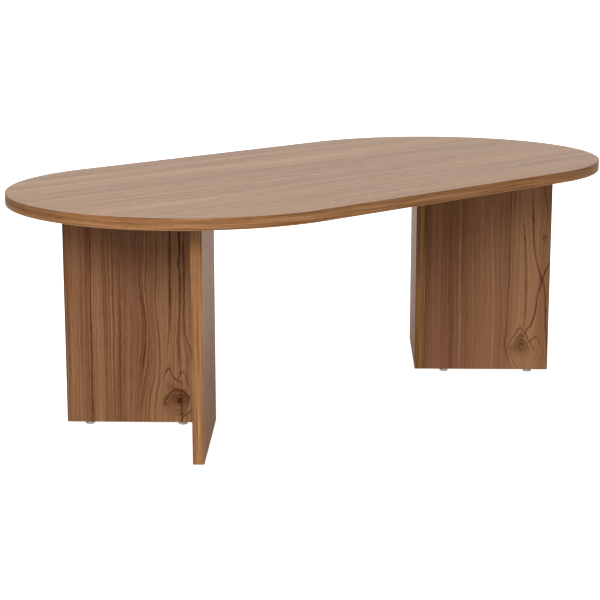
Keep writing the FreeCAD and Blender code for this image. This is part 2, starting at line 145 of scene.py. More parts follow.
def mix_colours(tree, share, first, second):
    """A mixture of two colours; share is how much of the second."""
    node = tree.nodes.new("ShaderNodeMix")
    node.data_type = "RGBA"
    sockets = {socket.identifier: socket for socket in node.inputs}
    feed(tree, sockets["Factor_Float"], share)
    feed(tree, sockets["A_Color"], first)
    feed(tree, sockets["B_Color"], second)
    return next(socket for socket in node.outputs if socket.identifier == "Result_Color")


print("screen white is", screen(255, 255, 255))

# %% [markdown]
# A finish is a material: a colour, a roughness and small dents, each of which may change over the
# surface. Materials can also be picked in the editor, one piece at a time. Here every finish starts from
# the Principled shader, which does for wood, plastic and metal alike, and dressing a piece puts the
# finish in the slot that its mesh already has.

# %% Helpers for finishes
def new_finish(name):
    """An empty finish: the material, its node tree and the shader that ends it."""
    finish = bpy.data.materials.new(name)
    finish.use_nodes = True
    return finish, finish.node_tree, finish.node_tree.nodes["Principled BSDF"]


def dress(node_name, finish):
    """Give a node of the loaded table its finish."""
    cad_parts[node_name].material_slots[0].material = finish


print("nodes to dress:", len(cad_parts))

# %% [markdown]
# Catalogue pictures like this one are shot in a white studio: a white floor, white all round, and one
# large soft lamp to the left of the camera that gives the legs a brighter and a darker side. A world that
# is white above and dimmer below does most of it: the upper half lights the table evenly and is what the
# satin top reflects, the lower half stands for the light that comes back from the floor. The plain
# Standard view keeps white at white; the filmic one would turn the floor grey.

# %% White studio
SKY_STRENGTH = 1.0
GROUND_STRENGTH = 0.45
HORIZON_START = -0.25                   # downward slope of a ray that sees only the ground
WHITE = (1.0, 1.0, 1.0, 1.0)

bpy.context.scene.view_settings.view_transform = "Standard"

studio = bpy.data.worlds.new("white_studio")
studio.use_nodes = True
tree = studio.node_tree
ray_way = add_node(tree, "ShaderNodeTexCoord", {}).outputs["Generated"]
ray_slope = add_node(tree, "ShaderNodeSeparateXYZ", {"Vector": ray_way}).outputs["Z"]
brightness = fade(tree, ray_slope, HORIZON_START, 0.0, GROUND_STRENGTH, SKY_STRENGTH)
backdrop = tree.nodes["Background"]
backdrop.inputs["Color"].default_value = WHITE
feed(tree, backdrop.inputs["Strength"], brightness)
bpy.context.scene.world = studio
print("world: white above,", GROUND_STRENGTH, "below")

# %% [markdown]
# The lamp is an area light, which is what a softbox is: wide, so that it wraps round the ends of the top,
# and not too high, so that the soft shadow of the top stays in the upper third of the legs. It is placed
# by two angles from the camera, so that it can be walked round the table while trying.

# %% Softbox
LAMP_WIDTH = 2.4                        # metres
LAMP_HEIGHT = 0.8
LAMP_POWER = 49.0                       # watts
LAMP_DISTANCE = 3.6                     # metres from the middle of the table
LAMP_TURN = math.radians(16)            # to the left of the camera
LAMP_RISE = math.radians(27)            # above level

lamp_heading = CAMERA_HEADING + 2 * QUARTER_TURN - LAMP_TURN
lamp_way = Vector((
    math.cos(lamp_heading) * math.cos(LAMP_RISE),
    math.sin(lamp_heading) * math.cos(LAMP_RISE),
    math.sin(LAMP_RISE),
))
softbox = bpy.data.lights.new("softbox", "AREA")
softbox.shape = "RECTANGLE"
softbox.size = LAMP_WIDTH
softbox.size_y = LAMP_HEIGHT
softbox.energy = LAMP_POWER
softbox_stand = bpy.data.objects.new("softbox", softbox)
softbox_stand.location = lamp_way * LAMP_DISTANCE
softbox_stand.rotation_euler = lamp_way.to_track_quat("Z", "Y").to_euler()
bpy.context.scene.collection.objects.link(softbox_stand)
print("lamp at", [round(value, 2) for value in softbox_stand.location])

# %% [markdown]
# The floor is a wide white disc, and there are two of it. The one that the camera sees glows a little,
# which thins the shadows until the floor is as white as in a picture that was cut out. The one just below
# it, which only the shine of the boards sees, does not glow: it keeps the shadow of the table, so the
# sides of the legs mirror less white near their feet. Neither sends soft light up: the lower half of the
# world stands for that.

# %% Floor
FLOOR_RADIUS = 40.0                     # metres
FLOOR_FACETS = 96
FLOOR_WHITE = (0.95, 0.95, 0.95, 1.0)
FLOOR_ROUGHNESS = 0.9
FLOOR_GLOW = 0.8
MIRRORED_DEPTH = 0.0002                 # metres below the floor that the camera sees


def floor_disc(name, glow):
    """A wide white disc on the ground, glowing by itself if wanted."""
    paint, _, shader = new_finish(name + "_paint")
    shader.inputs["Base Color"].default_value = FLOOR_WHITE
    shader.inputs["Roughness"].default_value = FLOOR_ROUGHNESS
    shader.inputs["Specular IOR Level"].default_value = 0.0
    shader.inputs["Emission Color"].default_value = WHITE
    shader.inputs["Emission Strength"].default_value = glow
    mesh = bpy.data.meshes.new(name)
    shape = bmesh.new()
    bmesh.ops.create_circle(shape, cap_ends=True, segments=FLOOR_FACETS, radius=FLOOR_RADIUS)
    shape.to_mesh(mesh)
    shape.free()
    mesh.materials.append(paint)
    disc = bpy.data.objects.new(name, mesh)
    disc.visible_diffuse = False
    bpy.context.scene.collection.objects.link(disc)
    return disc


studio_floor = floor_disc("studio_floor", FLOOR_GLOW)
studio_floor.visible_glossy = False
studio_floor.visible_shadow = False
mirrored_floor = floor_disc("mirrored_floor", 0.0)
mirrored_floor.location.z = -MIRRORED_DEPTH
mirrored_floor.visible_camera = False
print("floor", 2 * FLOOR_RADIUS, "m wide")

# %% [markdown]
# With white on all sides the round ends of the top would melt into the background. Photographers stand
# dark flags to the left and right, just out of the picture: the ends then grow darker towards their
# outline, as they do in the photograph. The camera does not see the flags, so they do no harm in a view
# from the side.

# %% Flags beside the table
FLAG_DISTANCE = 1.7                     # metres from the middle of the table
FLAG_DEPTH = 2.4
FLAG_HEIGHT = 1.2
FLAG_GREY = (0.08, 0.08, 0.08, 1.0)

flag_cloth, _, shader = new_finish("flag_cloth")
shader.inputs["Base Color"].default_value = FLAG_GREY
half_depth = FLAG_DEPTH / 2
flag_corners = [
    (-half_depth, 0, 0),
    (half_depth, 0, 0),
    (half_depth, 0, FLAG_HEIGHT),
    (-half_depth, 0, FLAG_HEIGHT),
]
flag_mesh = bpy.data.meshes.new("flag")
flag_mesh.from_pydata(flag_corners, [], [(0, 1, 2, 3)])
flag_mesh.materials.append(flag_cloth)
to_left = Vector((-math.sin(CAMERA_HEADING), math.cos(CAMERA_HEADING), 0.0))
for name, way in (("left_flag", to_left), ("right_flag", -to_left)):
    flag = bpy.data.objects.new(name, flag_mesh)
    flag.location = way * FLAG_DISTANCE
    flag.rotation_euler = (0, 0, CAMERA_HEADING)
    flag.visible_camera = False
    bpy.context.scene.collection.objects.link(flag)
print("flags", FLAG_DISTANCE, "m to each side")

# %% [markdown]
# Wood is drawn by its growth lines. They run along the board, so noise that is drawn out along the grain
# makes believable streaks: broad ones for the slow changes of colour, fine ones for single years, and
# short dashes for the open pores of walnut. An image of real wood would be quicker, but it repeats and
# has a fixed sharpness, while noise can be made for each board and stays sharp close up.

# %% Streaks along the grain
STREAK_ROUGHNESS = 0.55                 # how much the finer detail of the noise counts


def streaks(tree, across, along, per_metre, stretch, detail):
    """Noise drawn out along the grain: streaks a metre, and how many times as long as wide each is."""
    place = add_node(tree, "ShaderNodeCombineXYZ", {
        "X": calc(tree, "MULTIPLY", across, per_metre),
        "Y": calc(tree, "MULTIPLY", along, per_metre / stretch),
    })
    noise = add_node(tree, "ShaderNodeTexNoise", {
        "Vector": place.outputs["Vector"], "Scale": 1.0, "Detail": detail, "Roughness": STREAK_ROUGHNESS,
    }, noise_dimensions="2D")
    return noise.outputs["Fac"]


def swing(tree, noise, amount):
    """Noise around one half, turned into a swing to both sides of zero."""
    return calc(tree, "MULTIPLY", calc(tree, "SUBTRACT", noise, 0.5), amount)


print("streaks are noise of roughness", STREAK_ROUGHNESS)

# %% [markdown]
# The print on the sheets has streaks of several widths laid over each other. On a real board one ring of
# growth is a few millimetres wide, bundles of rings make broader bands of light and dark, and the finest
# lines are rows of pores. A node group holds the recipe once, and every board feeds it with a patch of
# print of its own: how far across the rings a spot lies, and how far along the grain.

# %% The walnut print
# For each layer: streaks a metre, length over width, detail of the noise, weight in the tone
STREAK_LAYERS = (
    (14.0, 12.0, 0.0, 0.08),
    (30.0, 30.0, 0.0, 0.08),
    (66.0, 70.0, 0.0, 0.05),
    (150.0, 120.0, 0.0, 0.05),
    (300.0, 170.0, 1.0, 0.24),
    (520.0, 200.0, 2.0, 0.60),
)
WARMTH_LAYER = (16.0, 20.0, 1.0)
PORE_LAYER = (900.0, 24.0, 0.0)
PORE_START = 0.60                       # noise above this opens a pore
PORE_FULL = 0.74
PORE_WEIGHT = -0.06

walnut_print = bpy.data.node_groups.new("walnut_print", "ShaderNodeTree")
for name in ("Year", "Along"):
    walnut_print.interface.new_socket(name=name, in_out="INPUT", socket_type="NodeSocketFloat")
for name in ("Streaks", "Warmth", "Pores"):
    walnut_print.interface.new_socket(name=name, in_out="OUTPUT", socket_type="NodeSocketFloat")
spot = walnut_print.nodes.new("NodeGroupInput").outputs
drawn = walnut_print.nodes.new("NodeGroupOutput").inputs

pores = fade(walnut_print, streaks(walnut_print, spot["Year"], spot["Along"], *PORE_LAYER),
             PORE_START, PORE_FULL)
streak_sum = calc(walnut_print, "MULTIPLY", pores, PORE_WEIGHT)
for per_metre, stretch, detail, weight in STREAK_LAYERS:
    layer = streaks(walnut_print, spot["Year"], spot["Along"], per_metre, stretch, detail)
    streak_sum = calc(walnut_print, "ADD", streak_sum, swing(walnut_print, layer, weight))
feed(walnut_print, drawn["Streaks"], streak_sum)
feed(walnut_print, drawn["Warmth"], streaks(walnut_print, spot["Year"], spot["Along"], *WARMTH_LAYER))
feed(walnut_print, drawn["Pores"], pores)
print("walnut print:", len(walnut_print.nodes), "nodes")

# %% [markdown]
# What makes walnut look like walnut is its figure: long dark lines that sway, pinch together and part
# round a knot. Noise never draws them convincingly. A designer of printed sheets draws or traces them
# line by line, and so does this lesson: every line is a curve through a few places, in millimetres. A
# Float Curve node holds such a curve, between 0 and 1, so places are divided by the reach and the answer
# is multiplied by it.

# %% Drawn curves
LINE_REACH = 400.0                      # millimetres that a drawn curve can cover


def drawn_curve(tree, value, places, reach):
    """A curve drawn through (value, result) places, both from 0 to reach."""
    node = add_node(tree, "ShaderNodeFloatCurve", {"Value": calc(tree, "DIVIDE", value, reach)})
    points = node.mapping.curves[0].points
    shares = [(place / reach, answer / reach) for place, answer in places]
    points[0].location = shares[0]
    points[1].location = shares[-1]
    for share in shares[1:-1]:
        points.new(*share)
    for point in points:
        point.handle_type = "AUTO_CLAMPED"
    node.mapping.extend = "HORIZONTAL"
    node.mapping.update()
    return calc(tree, "MULTIPLY", node.outputs["Value"], reach)


def drawn_tone(tree, value, places, reach):
    """The same for (value, tone) places, with tones from 0 to 1."""
    scaled = [(place, tone * reach) for place, tone in places]
    return calc(tree, "DIVIDE", drawn_curve(tree, value, scaled, reach), reach)


print("drawn curves reach", LINE_REACH, "mm")

# %% [markdown]
# A drawn line darkens slowly from one side and ends sharply on the other, as rings of growth do. One
# width for both sides would be simpler, but looks like a stroke of a pen. The same lines steer the fine
# streaks: between two neighbouring lines the streaks keep their share of the room, so they crowd where
# the lines pinch and spread where they part. Years are what this is counted in, since a tree adds one
# ring a year.

# %% Lines and years
SOFT_SIDE = 6.0                         # millimetres over which a line darkens before its sharp side
SOFT_SHARE = 0.25                       # darkness of the soft side, as a share of the line's
SOFT_BEND = 2.0                         # above 1 the darkening starts slowly
LINE_ENDING = 25.0                      # millimetres to each side of an end where an upright line fades
ARCH_ENDING = 5.0                       # the same for an arch
LEAST_GAP = 0.5                         # millimetres between two lines that pinch together

# dark is below zero for a pale line, and low and high are where the line begins and ends
GrainLine = namedtuple("GrainLine", "dark width low high places")


def years_between(tree, across, guides):
    """Years counted across the board; guides are (place at rest, place at this height) pairs."""
    years = guides[0][0]
    for (left_rest, left), (right_rest, right) in zip(guides, guides[1:]):
        apart = calc(tree, "MAXIMUM", right, calc(tree, "ADD", left, LEAST_GAP))
        step = add_node(tree, "ShaderNodeMapRange", {
            "Value": across, "From Min": left, "From Max": apart, "To Max": right_rest - left_rest,
        }).outputs["Result"]
        years = calc(tree, "ADD", step, years)
    return years


def line_shade(tree, offset, position, line, ending):
    """How dark one drawn line makes a spot, from its distance and its place along the line."""
    sharp = fade(tree, calc(tree, "ABSOLUTE", offset), 0.0, line.width, 1.0, 0.0)
    rise = calc(tree, "POWER", fade(tree, offset, -SOFT_SIDE, 0.0), SOFT_BEND)
    soft = calc(tree, "MULTIPLY", rise, fade(tree, offset, 0.0, line.width, SOFT_SHARE, 0.0))
    shade = calc(tree, "MAXIMUM", sharp, soft)
    begun = fade(tree, position, line.low - ending, line.low + ending, 0.0, line.dark)
    left = fade(tree, position, line.high - ending, line.high + ending, 1.0, 0.0)
    return calc(tree, "MULTIPLY", shade, calc(tree, "MULTIPLY", begun, left))


print("lines darken over", SOFT_SIDE, "mm")

# %% [markdown]
# A knot is a branch that the saw has cut across: rings round a dark heart, wider to one side, ruffled,
# and often drawn out to a point above, where the wood has grown over the branch. Its field is a distance
# from the heart, with a width to the left, one to the right, a rise and a drop. A corner value near 1
# makes the rings pointed and one near 2 makes them round. A curve over that distance says how dark each
# ring is.

# %% Knots
MILLIMETRE = 0.001                      # metres
RING_REACH = 1.6                        # knot sizes that the ring curves cover
RUFFLES = (55.0, 1.0, 2.0)              # ruffles a metre, length over width, detail
LOWER_FROM = 0.5                        # share of the drop below which only the lower darkness is left
UPPER_FROM = 0.4                        # share of the rise above which the rings are fully dark
KNOT_EDGE = (0.9, 1.3)                  # where the streaks change from rings to straight lines

# dark is the darkness above the heart, lower the share of it that is left below the heart
Knot = namedtuple("Knot", "across height left_width right_width rise drop corner ruffle dark lower rings")


def knot_distance(tree, across, height, knot, patch):
    """Distance from the heart of a knot: 0 in the heart and 1 at the outer ring."""
    metres_across = calc(tree, "MULTIPLY_ADD", across, MILLIMETRE, patch)
    metres_up = calc(tree, "MULTIPLY_ADD", height, MILLIMETRE, patch)
    ruffle = streaks(tree, metres_across, metres_up, *RUFFLES)
    to_right = calc(tree, "SUBTRACT", across, knot.across)
    beside = calc(tree, "MAXIMUM", calc(tree, "DIVIDE", to_right, knot.right_width),
                  calc(tree, "DIVIDE", to_right, -knot.left_width))
    upwards = calc(tree, "SUBTRACT", height, knot.height)
    above = calc(tree, "MAXIMUM", calc(tree, "DIVIDE", upwards, knot.rise),
                 calc(tree, "DIVIDE", upwards, -knot.drop))
    total = calc(tree, "ADD", calc(tree, "POWER", beside, knot.corner),
                 calc(tree, "POWER", above, knot.corner))
    distance = calc(tree, "POWER", total, 1 / knot.corner)
    distance = calc(tree, "ADD", distance, swing(tree, ruffle, knot.ruffle))
    return calc(tree, "MAXIMUM", distance, 0.0)


def knot_shade(tree, distance, height, knot):
    """How dark the heart and the rings of a knot make a spot."""
    rings = drawn_curve(tree, calc(tree, "MINIMUM", distance, RING_REACH), knot.rings, RING_REACH)
    upper = fade(tree, height, knot.height - LOWER_FROM * knot.drop, knot.height + UPPER_FROM * knot.rise,
                 knot.lower, 1.0)
    return calc(tree, "MULTIPLY", rings, calc(tree, "MULTIPLY", upper, knot.dark))


print("ring curves reach", RING_REACH, "knot sizes")

# %% [markdown]
# The board on the left has a bundle of lines that sways to the right at mid-height, and a dark stem in
# its last quarter. Heights are counted from the floor and distances from the board's left edge, both in
# millimetres. Lines with no darkness only steer the streaks. Drawing lines one by one takes longer than
# any noise does, but only so do they stand where they should.

# %% Lines of the swaying figure
SWAYING_LINES = (
    GrainLine(0.00, 1.0, 0, 400, ((0, 0), (390, 0))),
    GrainLine(0.12, 2.2, 0, 400, ((0, 42), (130, 43), (390, 44))),
    GrainLine(0.12, 1.8, 0, 300, ((0, 66), (200, 67), (390, 66))),
    GrainLine(0.10, 1.8, 30, 200, ((0, 106), (120, 108), (160, 110), (390, 108))),
    GrainLine(0.21, 2.0, 90, 222, (
        (0, 116), (40, 118), (76, 123), (100, 126), (116, 128), (132, 130.5), (162, 132), (180, 131.5),
        (200, 129.5), (212, 127.5), (270, 126.5), (390, 128))),
    GrainLine(0.15, 2.0, 40, 400, (
        (0, 124), (40, 126), (54, 128), (70, 132), (93, 138), (116, 140), (139, 141), (200, 139),
        (260, 140.5), (330, 144.5), (390, 145))),
    GrainLine(0.16, 2.0, 30, 400, (
        (0, 146), (51, 148.5), (70, 152), (93, 154), (112, 155), (150, 153.5), (190, 150.5), (210, 149),
        (250, 150), (330, 153.5), (390, 155))),
    GrainLine(0.34, 2.3, 165, 400, (
        (0, 158), (75, 162), (130, 169), (175, 172.5), (250, 173.5), (390, 174.5))),
    GrainLine(0.44, 2.6, 100, 400, (
        (0, 188), (34, 188.5), (45, 187.5), (70, 188), (86, 187.5), (101, 186.5), (132, 185.5),
        (147, 185), (162, 186), (200, 188), (260, 189.5), (272, 188), (290, 190), (390, 189))),
    GrainLine(0.22, 2.2, -30, 60, ((0, 190), (34, 190.5), (45, 189.5), (70, 190), (390, 191))),
    GrainLine(0.26, 2.4, 108, 310, (
        (0, 205), (60, 207), (110, 206.5), (122, 206), (132, 204), (140, 201), (150, 197.5),
        (162, 195.5), (200, 195), (260, 196), (390, 196))),
    GrainLine(0.00, 1.0, 0, 400, ((0, 250), (390, 250))),
)
print("swaying figure:", len(SWAYING_LINES), "lines")

# %% [markdown]
# A knot sits at the foot of the stem, with arches over it where the wood has closed above the branch.
# Arches are drawn the other way round, with a height for every place across, since a line that turns back
# has no single place for each height. The rings of the knot are a curve too, from the heart outwards. The
# shade is the broad change of tone from the left edge of the board to the right.

# %% Arches, knot and shade of the swaying figure
SWAYING_ARCHES = (
    GrainLine(0.31, 4.2, 160, 192, (
        (158, 74), (162, 86), (165, 93), (169, 97), (174, 88), (178.5, 80), (183.5, 77), (189.5, 73),
        (196, 70))),
    GrainLine(0.40, 4.0, 184, 202, (
        (182, 74), (186, 82), (188.5, 90), (193, 91), (196, 86), (197.5, 80), (201, 70), (206, 62))),
    GrainLine(0.10, 12.0, 163, 192, ((160, 62), (168, 67), (174, 66), (180, 65), (188, 66), (196, 62))),
    GrainLine(0.22, 2.4, 188, 212, ((186, 8), (190.5, 12), (196.5, 18), (205.5, 26), (214, 33))),
)
SWAYING_RINGS = (
    (0.0, 0.95), (0.18, 0.80), (0.30, 0.50), (0.42, 0.40), (0.52, 0.54), (0.62, 0.32), (0.74, 0.46),
    (0.84, 0.26), (0.92, 0.40), (1.00, 0.62), (1.10, 0.26), (1.22, 0.06), (1.40, 0.0), (1.60, 0.0),
)
SWAYING_KNOTS = (Knot(187.5, 42.0, 24.0, 12.5, 17.5, 25.0, 1.95, 0.80, 0.62, 0.40, SWAYING_RINGS),)
SWAYING_SHADE = (
    (0, 0.36), (5, 0.48), (15, 0.49), (25, 0.48), (32, 0.43), (40, 0.39), (46, 0.44), (52, 0.54),
    (66, 0.51), (85, 0.50), (105, 0.51), (120, 0.49), (135, 0.52), (150, 0.55), (163, 0.57),
    (178, 0.58), (190, 0.55), (200, 0.54), (230, 0.54),
)
print("swaying figure:", len(SWAYING_ARCHES), "arches,", len(SWAYING_KNOTS), "knot")

# %% [markdown]
# The board on the right is calmer. Two pale hairlines run up its plain part, and then comes a golden
# strip in which two dark lines pinch together like an hourglass. The lists are of the same kind as for
# the left board, so that one recipe can draw both.

# %% Lines of the hourglass figure
HOURGLASS_LINES = (
    GrainLine(0.00, 1.0, 0, 400, ((0, 0), (390, 0))),
    GrainLine(0.12, 1.8, 125, 165, ((0, 44), (390, 44))),
    GrainLine(-0.16, 1.8, 0, 330, ((0, 64.5), (100, 64.5), (240, 62.5), (390, 62.5))),
    GrainLine(-0.20, 1.8, 0, 300, ((0, 124.5), (150, 124.5), (200, 122.5), (260, 120.5), (390, 119.5))),
    GrainLine(0.08, 1.8, 0, 330, ((0, 140), (44, 140), (110, 142), (180, 138), (390, 137))),
    GrainLine(0.20, 2.0, 0, 400, (
        (0, 162), (9, 160), (20, 156.5), (31, 153.5), (44, 149), (58, 148), (69, 150), (82, 151),
        (119, 152), (165, 153), (240, 153.5), (390, 154))),
    GrainLine(0.16, 3.0, 305, 400, ((0, 164.5), (60, 161), (390, 160.5))),
    GrainLine(0.16, 3.5, 295, 400, ((0, 167), (60, 167), (150, 170), (260, 171), (390, 168))),
    GrainLine(0.18, 2.2, 88, 280, (
        (0, 173), (60, 175), (72, 180), (86, 184), (124, 185.5), (170, 185.5), (220, 182.5),
        (260, 179.5), (300, 176.5), (390, 177))),
    GrainLine(0.36, 2.1, 76, 330, (
        (0, 186), (60, 181), (69, 183), (74, 185.5), (80, 189), (84, 191), (87, 195), (96, 198),
        (108, 201.5), (120, 204), (137, 205), (150, 207.5), (165, 211.5), (174, 212.5), (195, 207.5),
        (215, 201.5), (235, 198.5), (260, 196.5), (315, 193.5), (390, 191))),
    GrainLine(0.24, 1.8, 300, 345, (
        (0, 208), (100, 211), (174, 213.7), (260, 215), (296, 221), (312, 219.5), (325, 217),
        (338, 215.5), (390, 214))),
    GrainLine(0.28, 2.0, 40, 215, (
        (0, 229), (62, 225.5), (79, 223), (96, 221.5), (137, 220.5), (160, 218.5), (174, 215),
        (185, 217.5), (205, 225), (215, 229), (260, 234), (390, 238))),
    GrainLine(0.00, 1.0, 0, 400, ((0, 250), (390, 250))),
)
print("hourglass figure:", len(HOURGLASS_LINES), "lines")

# %% [markdown]
# Below the hourglass pointed rings stand over a knot, as those of a steep branch look when the saw cuts
# them at a slant, and a wide arch stands beside it. A pin knot, the mark of a mere twig, sits higher up
# near the right edge. Both are knots of the same recipe, with other sizes and other rings.

# %% Arches, knots and shade of the hourglass figure
HOURGLASS_ARCHES = (
    GrainLine(0.22, 2.4, 192, 224, (
        (186, 53), (192.5, 57), (197.5, 62), (204, 67), (209.5, 61), (215, 53), (218, 44), (221, 34),
        (226, 14))),
    GrainLine(0.30, 2.4, 159, 172, ((154, 40), (161.5, 28), (166, 18), (171.5, 9), (176, 2))),
)
HOURGLASS_RINGS = (
    (0.0, 0.85), (0.14, 0.80), (0.24, 0.40), (0.31, 1.0), (0.39, 0.28), (0.47, 0.85), (0.56, 0.20),
    (0.68, 0.48), (0.78, 0.10), (0.92, 0.06), (1.00, 0.50), (1.08, 0.06), (1.30, 0.0), (1.60, 0.0),
)
PIN_RINGS = ((0.0, 0.9), (0.35, 0.3), (0.6, 0.7), (0.8, 0.2), (1.0, 0.8), (1.2, 0.1), (1.6, 0.0))
HOURGLASS_KNOTS = (
    Knot(177.0, 41.0, 25.0, 24.0, 41.0, 32.0, 1.35, 0.36, 0.46, 0.12, HOURGLASS_RINGS),
    Knot(216.5, 252.0, 4.5, 4.5, 6.0, 6.0, 2.0, 1.1, 0.24, 0.60, PIN_RINGS),
)
HOURGLASS_SHADE = (
    (0, 0.39), (8, 0.44), (15, 0.48), (25, 0.49), (38, 0.46), (50, 0.44), (62, 0.45), (75, 0.46),
    (88, 0.50), (105, 0.55), (122, 0.53), (140, 0.51), (151, 0.51), (157, 0.58), (168, 0.61),
    (185, 0.59), (198, 0.60), (208, 0.54), (216, 0.51), (223, 0.50), (230, 0.40),
)
print("hourglass figure:", len(HOURGLASS_ARCHES), "arches,", len(HOURGLASS_KNOTS), "knots")

# %% [markdown]
# Printed walnut is never one brown. The finish of a sheet ends in two colour ramps, one redder and one
# more golden, mixed by a slow noise. One ramp would be simpler, but then a paler spot would always be a
# warmer one as well, and the board would look stained.

# %% Two browns of walnut
RED_WALNUT = (
    (0.10, screen(66, 30, 8)),
    (0.36, screen(112, 71, 50)),
    (0.50, screen(142, 95, 72)),
    (0.80, screen(184, 133, 102)),
    (1.00, screen(212, 160, 132)),
)
GOLD_WALNUT = (
    (0.10, screen(68, 35, 8)),
    (0.36, screen(113, 77, 46)),
    (0.50, screen(143, 103, 67)),
    (0.80, screen(185, 142, 98)),
    (1.00, screen(212, 168, 124)),
)
WARM_START = -0.2                       # warmth of the reddest brown
WARM_FULL = 1.3                         # warmth of the most golden one


def walnut_colour(tree, shader, tone, warmth):
    """The brown of one sheet, from its tone and its warmth."""
    redder = tint(tree, tone, RED_WALNUT)
    golden = tint(tree, tone, GOLD_WALNUT)
    brown = mix_colours(tree, fade(tree, warmth, WARM_START, WARM_FULL), redder, golden)
    feed(tree, shader.inputs["Base Color"], brown)


print("two browns with", len(RED_WALNUT), "stops each")

# %% [markdown]
# The lacquer over the print is satin, a little duller in the pores, which press very shallow dents into
# the sheet. The shine is set by the index of refraction: a low one gives little shine face on, so the
# browns stay deep, and still enough at a flat angle. A coat could be laid over the shader as well, but
# for a thin lacquer one shine is enough.

# %% Satin lacquer
PORE_RELIEF = (0.35, 0.00025)           # strength of the dents, and their depth in metres
PORE_DULLNESS = 0.12                    # added roughness


def press_dents(tree, shader, height, strength, depth):
    """Let a pattern of heights show as dents in a finish."""
    dents = add_node(tree, "ShaderNodeBump", {"Height": height, "Strength": strength, "Distance": depth})
    feed(tree, shader.inputs["Normal"], dents.outputs["Normal"])


def lacquer(tree, shader, pores, roughness, shine):
    """Satin lacquer: a little duller in the pores, which are also pressed in."""
    feed(tree, shader.inputs["Roughness"], calc(tree, "MULTIPLY_ADD", pores, PORE_DULLNESS, roughness))
    shader.inputs["IOR"].default_value = shine
    press_dents(tree, shader, calc(tree, "SUBTRACT", 1.0, pores), *PORE_RELIEF)


print("pores are", PORE_RELIEF[1], "m deep")

# %% [markdown]
# A print needs to know where on its board a spot lies. A UV map would do, but each board would have to be
# unwrapped for it. Here the place on the table is measured along the board's own level direction, with a
# dot product, and upwards. The boards stand at 45 degrees to the length of the table, so their level
# directions have equal shares of X and Y.

# %% Measures on the boards
HALF_ROOT = math.sqrt(0.5)
WIDE_RIGHT = (HALF_ROOT, -HALF_ROOT, 0.0)
WIDE_LEFT = (-HALF_ROOT, HALF_ROOT, 0.0)
SIDE_AWAY = (HALF_ROOT, HALF_ROOT, 0.0)
SIDE_NEAR = (-HALF_ROOT, -HALF_ROOT, 0.0)
UPRIGHT = (0.0, 0.0, 1.0)


def table_place(tree):
    """The place on the table, in metres."""
    return add_node(tree, "ShaderNodeTexCoord", {}).outputs["Object"]


def place_along(tree, direction):
    """The place on the table measured along one direction."""
    return add_node(tree, "ShaderNodeVectorMath", {0: table_place(tree), 1: direction},
                    operation="DOT_PRODUCT").outputs["Value"]


def board_edges(node_name, direction):
    """Where a board begins and ends along one direction, in metres."""
    places = [vertex.co.dot(Vector(direction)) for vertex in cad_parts[node_name].data.vertices]
    return min(places), max(places)


print("edges of the right board's sheet:", board_edges("right_leg_butt_outer_sheet", WIDE_RIGHT))

# %% [markdown]
# A figure is more than its lines. It also says how strongly the streaks show, from where on the wood
# turns golden, and the steps in tone painted at the board's foot and at its head, which are painted shade
# and painted sheen. Separate values would do, but a named tuple hands them all on at once and keeps their
# names. The pale figure is the swaying one with paler broad tones, painted light for the sheets that look
# paler in the photograph.

# %% The figures
# contrast weighs the streaks, golden is the warmth added from golden_from millimetres on, and foot and
# head are steps in tone at the foot and at the head of the board: painted shade and painted sheen
Figure = namedtuple("Figure", "lines arches knots shade contrast golden_from golden foot head")
SWAYING = Figure(
    lines=SWAYING_LINES, arches=SWAYING_ARCHES, knots=SWAYING_KNOTS, shade=SWAYING_SHADE,
    contrast=0.88, golden_from=60.0, golden=0.08, foot=0.0, head=0.0)
HOURGLASS = Figure(
    lines=HOURGLASS_LINES, arches=HOURGLASS_ARCHES, knots=HOURGLASS_KNOTS, shade=HOURGLASS_SHADE,
    contrast=0.48, golden_from=155.0, golden=0.28, foot=0.0, head=0.0)
# Broad tones of the paler sheets: painted light, paler than the print on the other sheets
PALE_PAINTED_LIGHT_TONES = (
    (0, 0.76), (20, 0.80), (45, 0.78), (70, 0.74), (95, 0.76), (120, 0.78), (140, 0.76), (155, 0.68),
    (170, 0.84), (200, 0.84), (220, 0.72), (244, 0.66),
)
# the swaying figure with painted light: paler, with painted shade at the foot and painted sheen at the
# head
PALE_PAINTED_LIGHT_SWAYING = SWAYING._replace(shade=PALE_PAINTED_LIGHT_TONES, foot=-0.15, head=0.24)
print("darkest line of the swaying figure:", max(line.dark for line in SWAYING.lines))

# %% [markdown]
# Now the drawn pieces come together. For a spot on a board, the figure says how dark its lines, arches
# and knots make it, and which year of growth it lies on. Noise lets the lines fade in and out on their
# way, as lines drawn by a tree do. Inside a knot the years follow its rings and not the upright lines, so
# the fine streaks run round the heart.

# %% A figure on a board
FADING = (22.0, 1.5, 1.0)               # patches a metre, length over width, detail
FADING_NOISE = (0.30, 0.65)             # where a line is faintest and where it is darkest
FADING_STRENGTH = (0.60, 1.20)          # how dark it is there, as a share of its own darkness


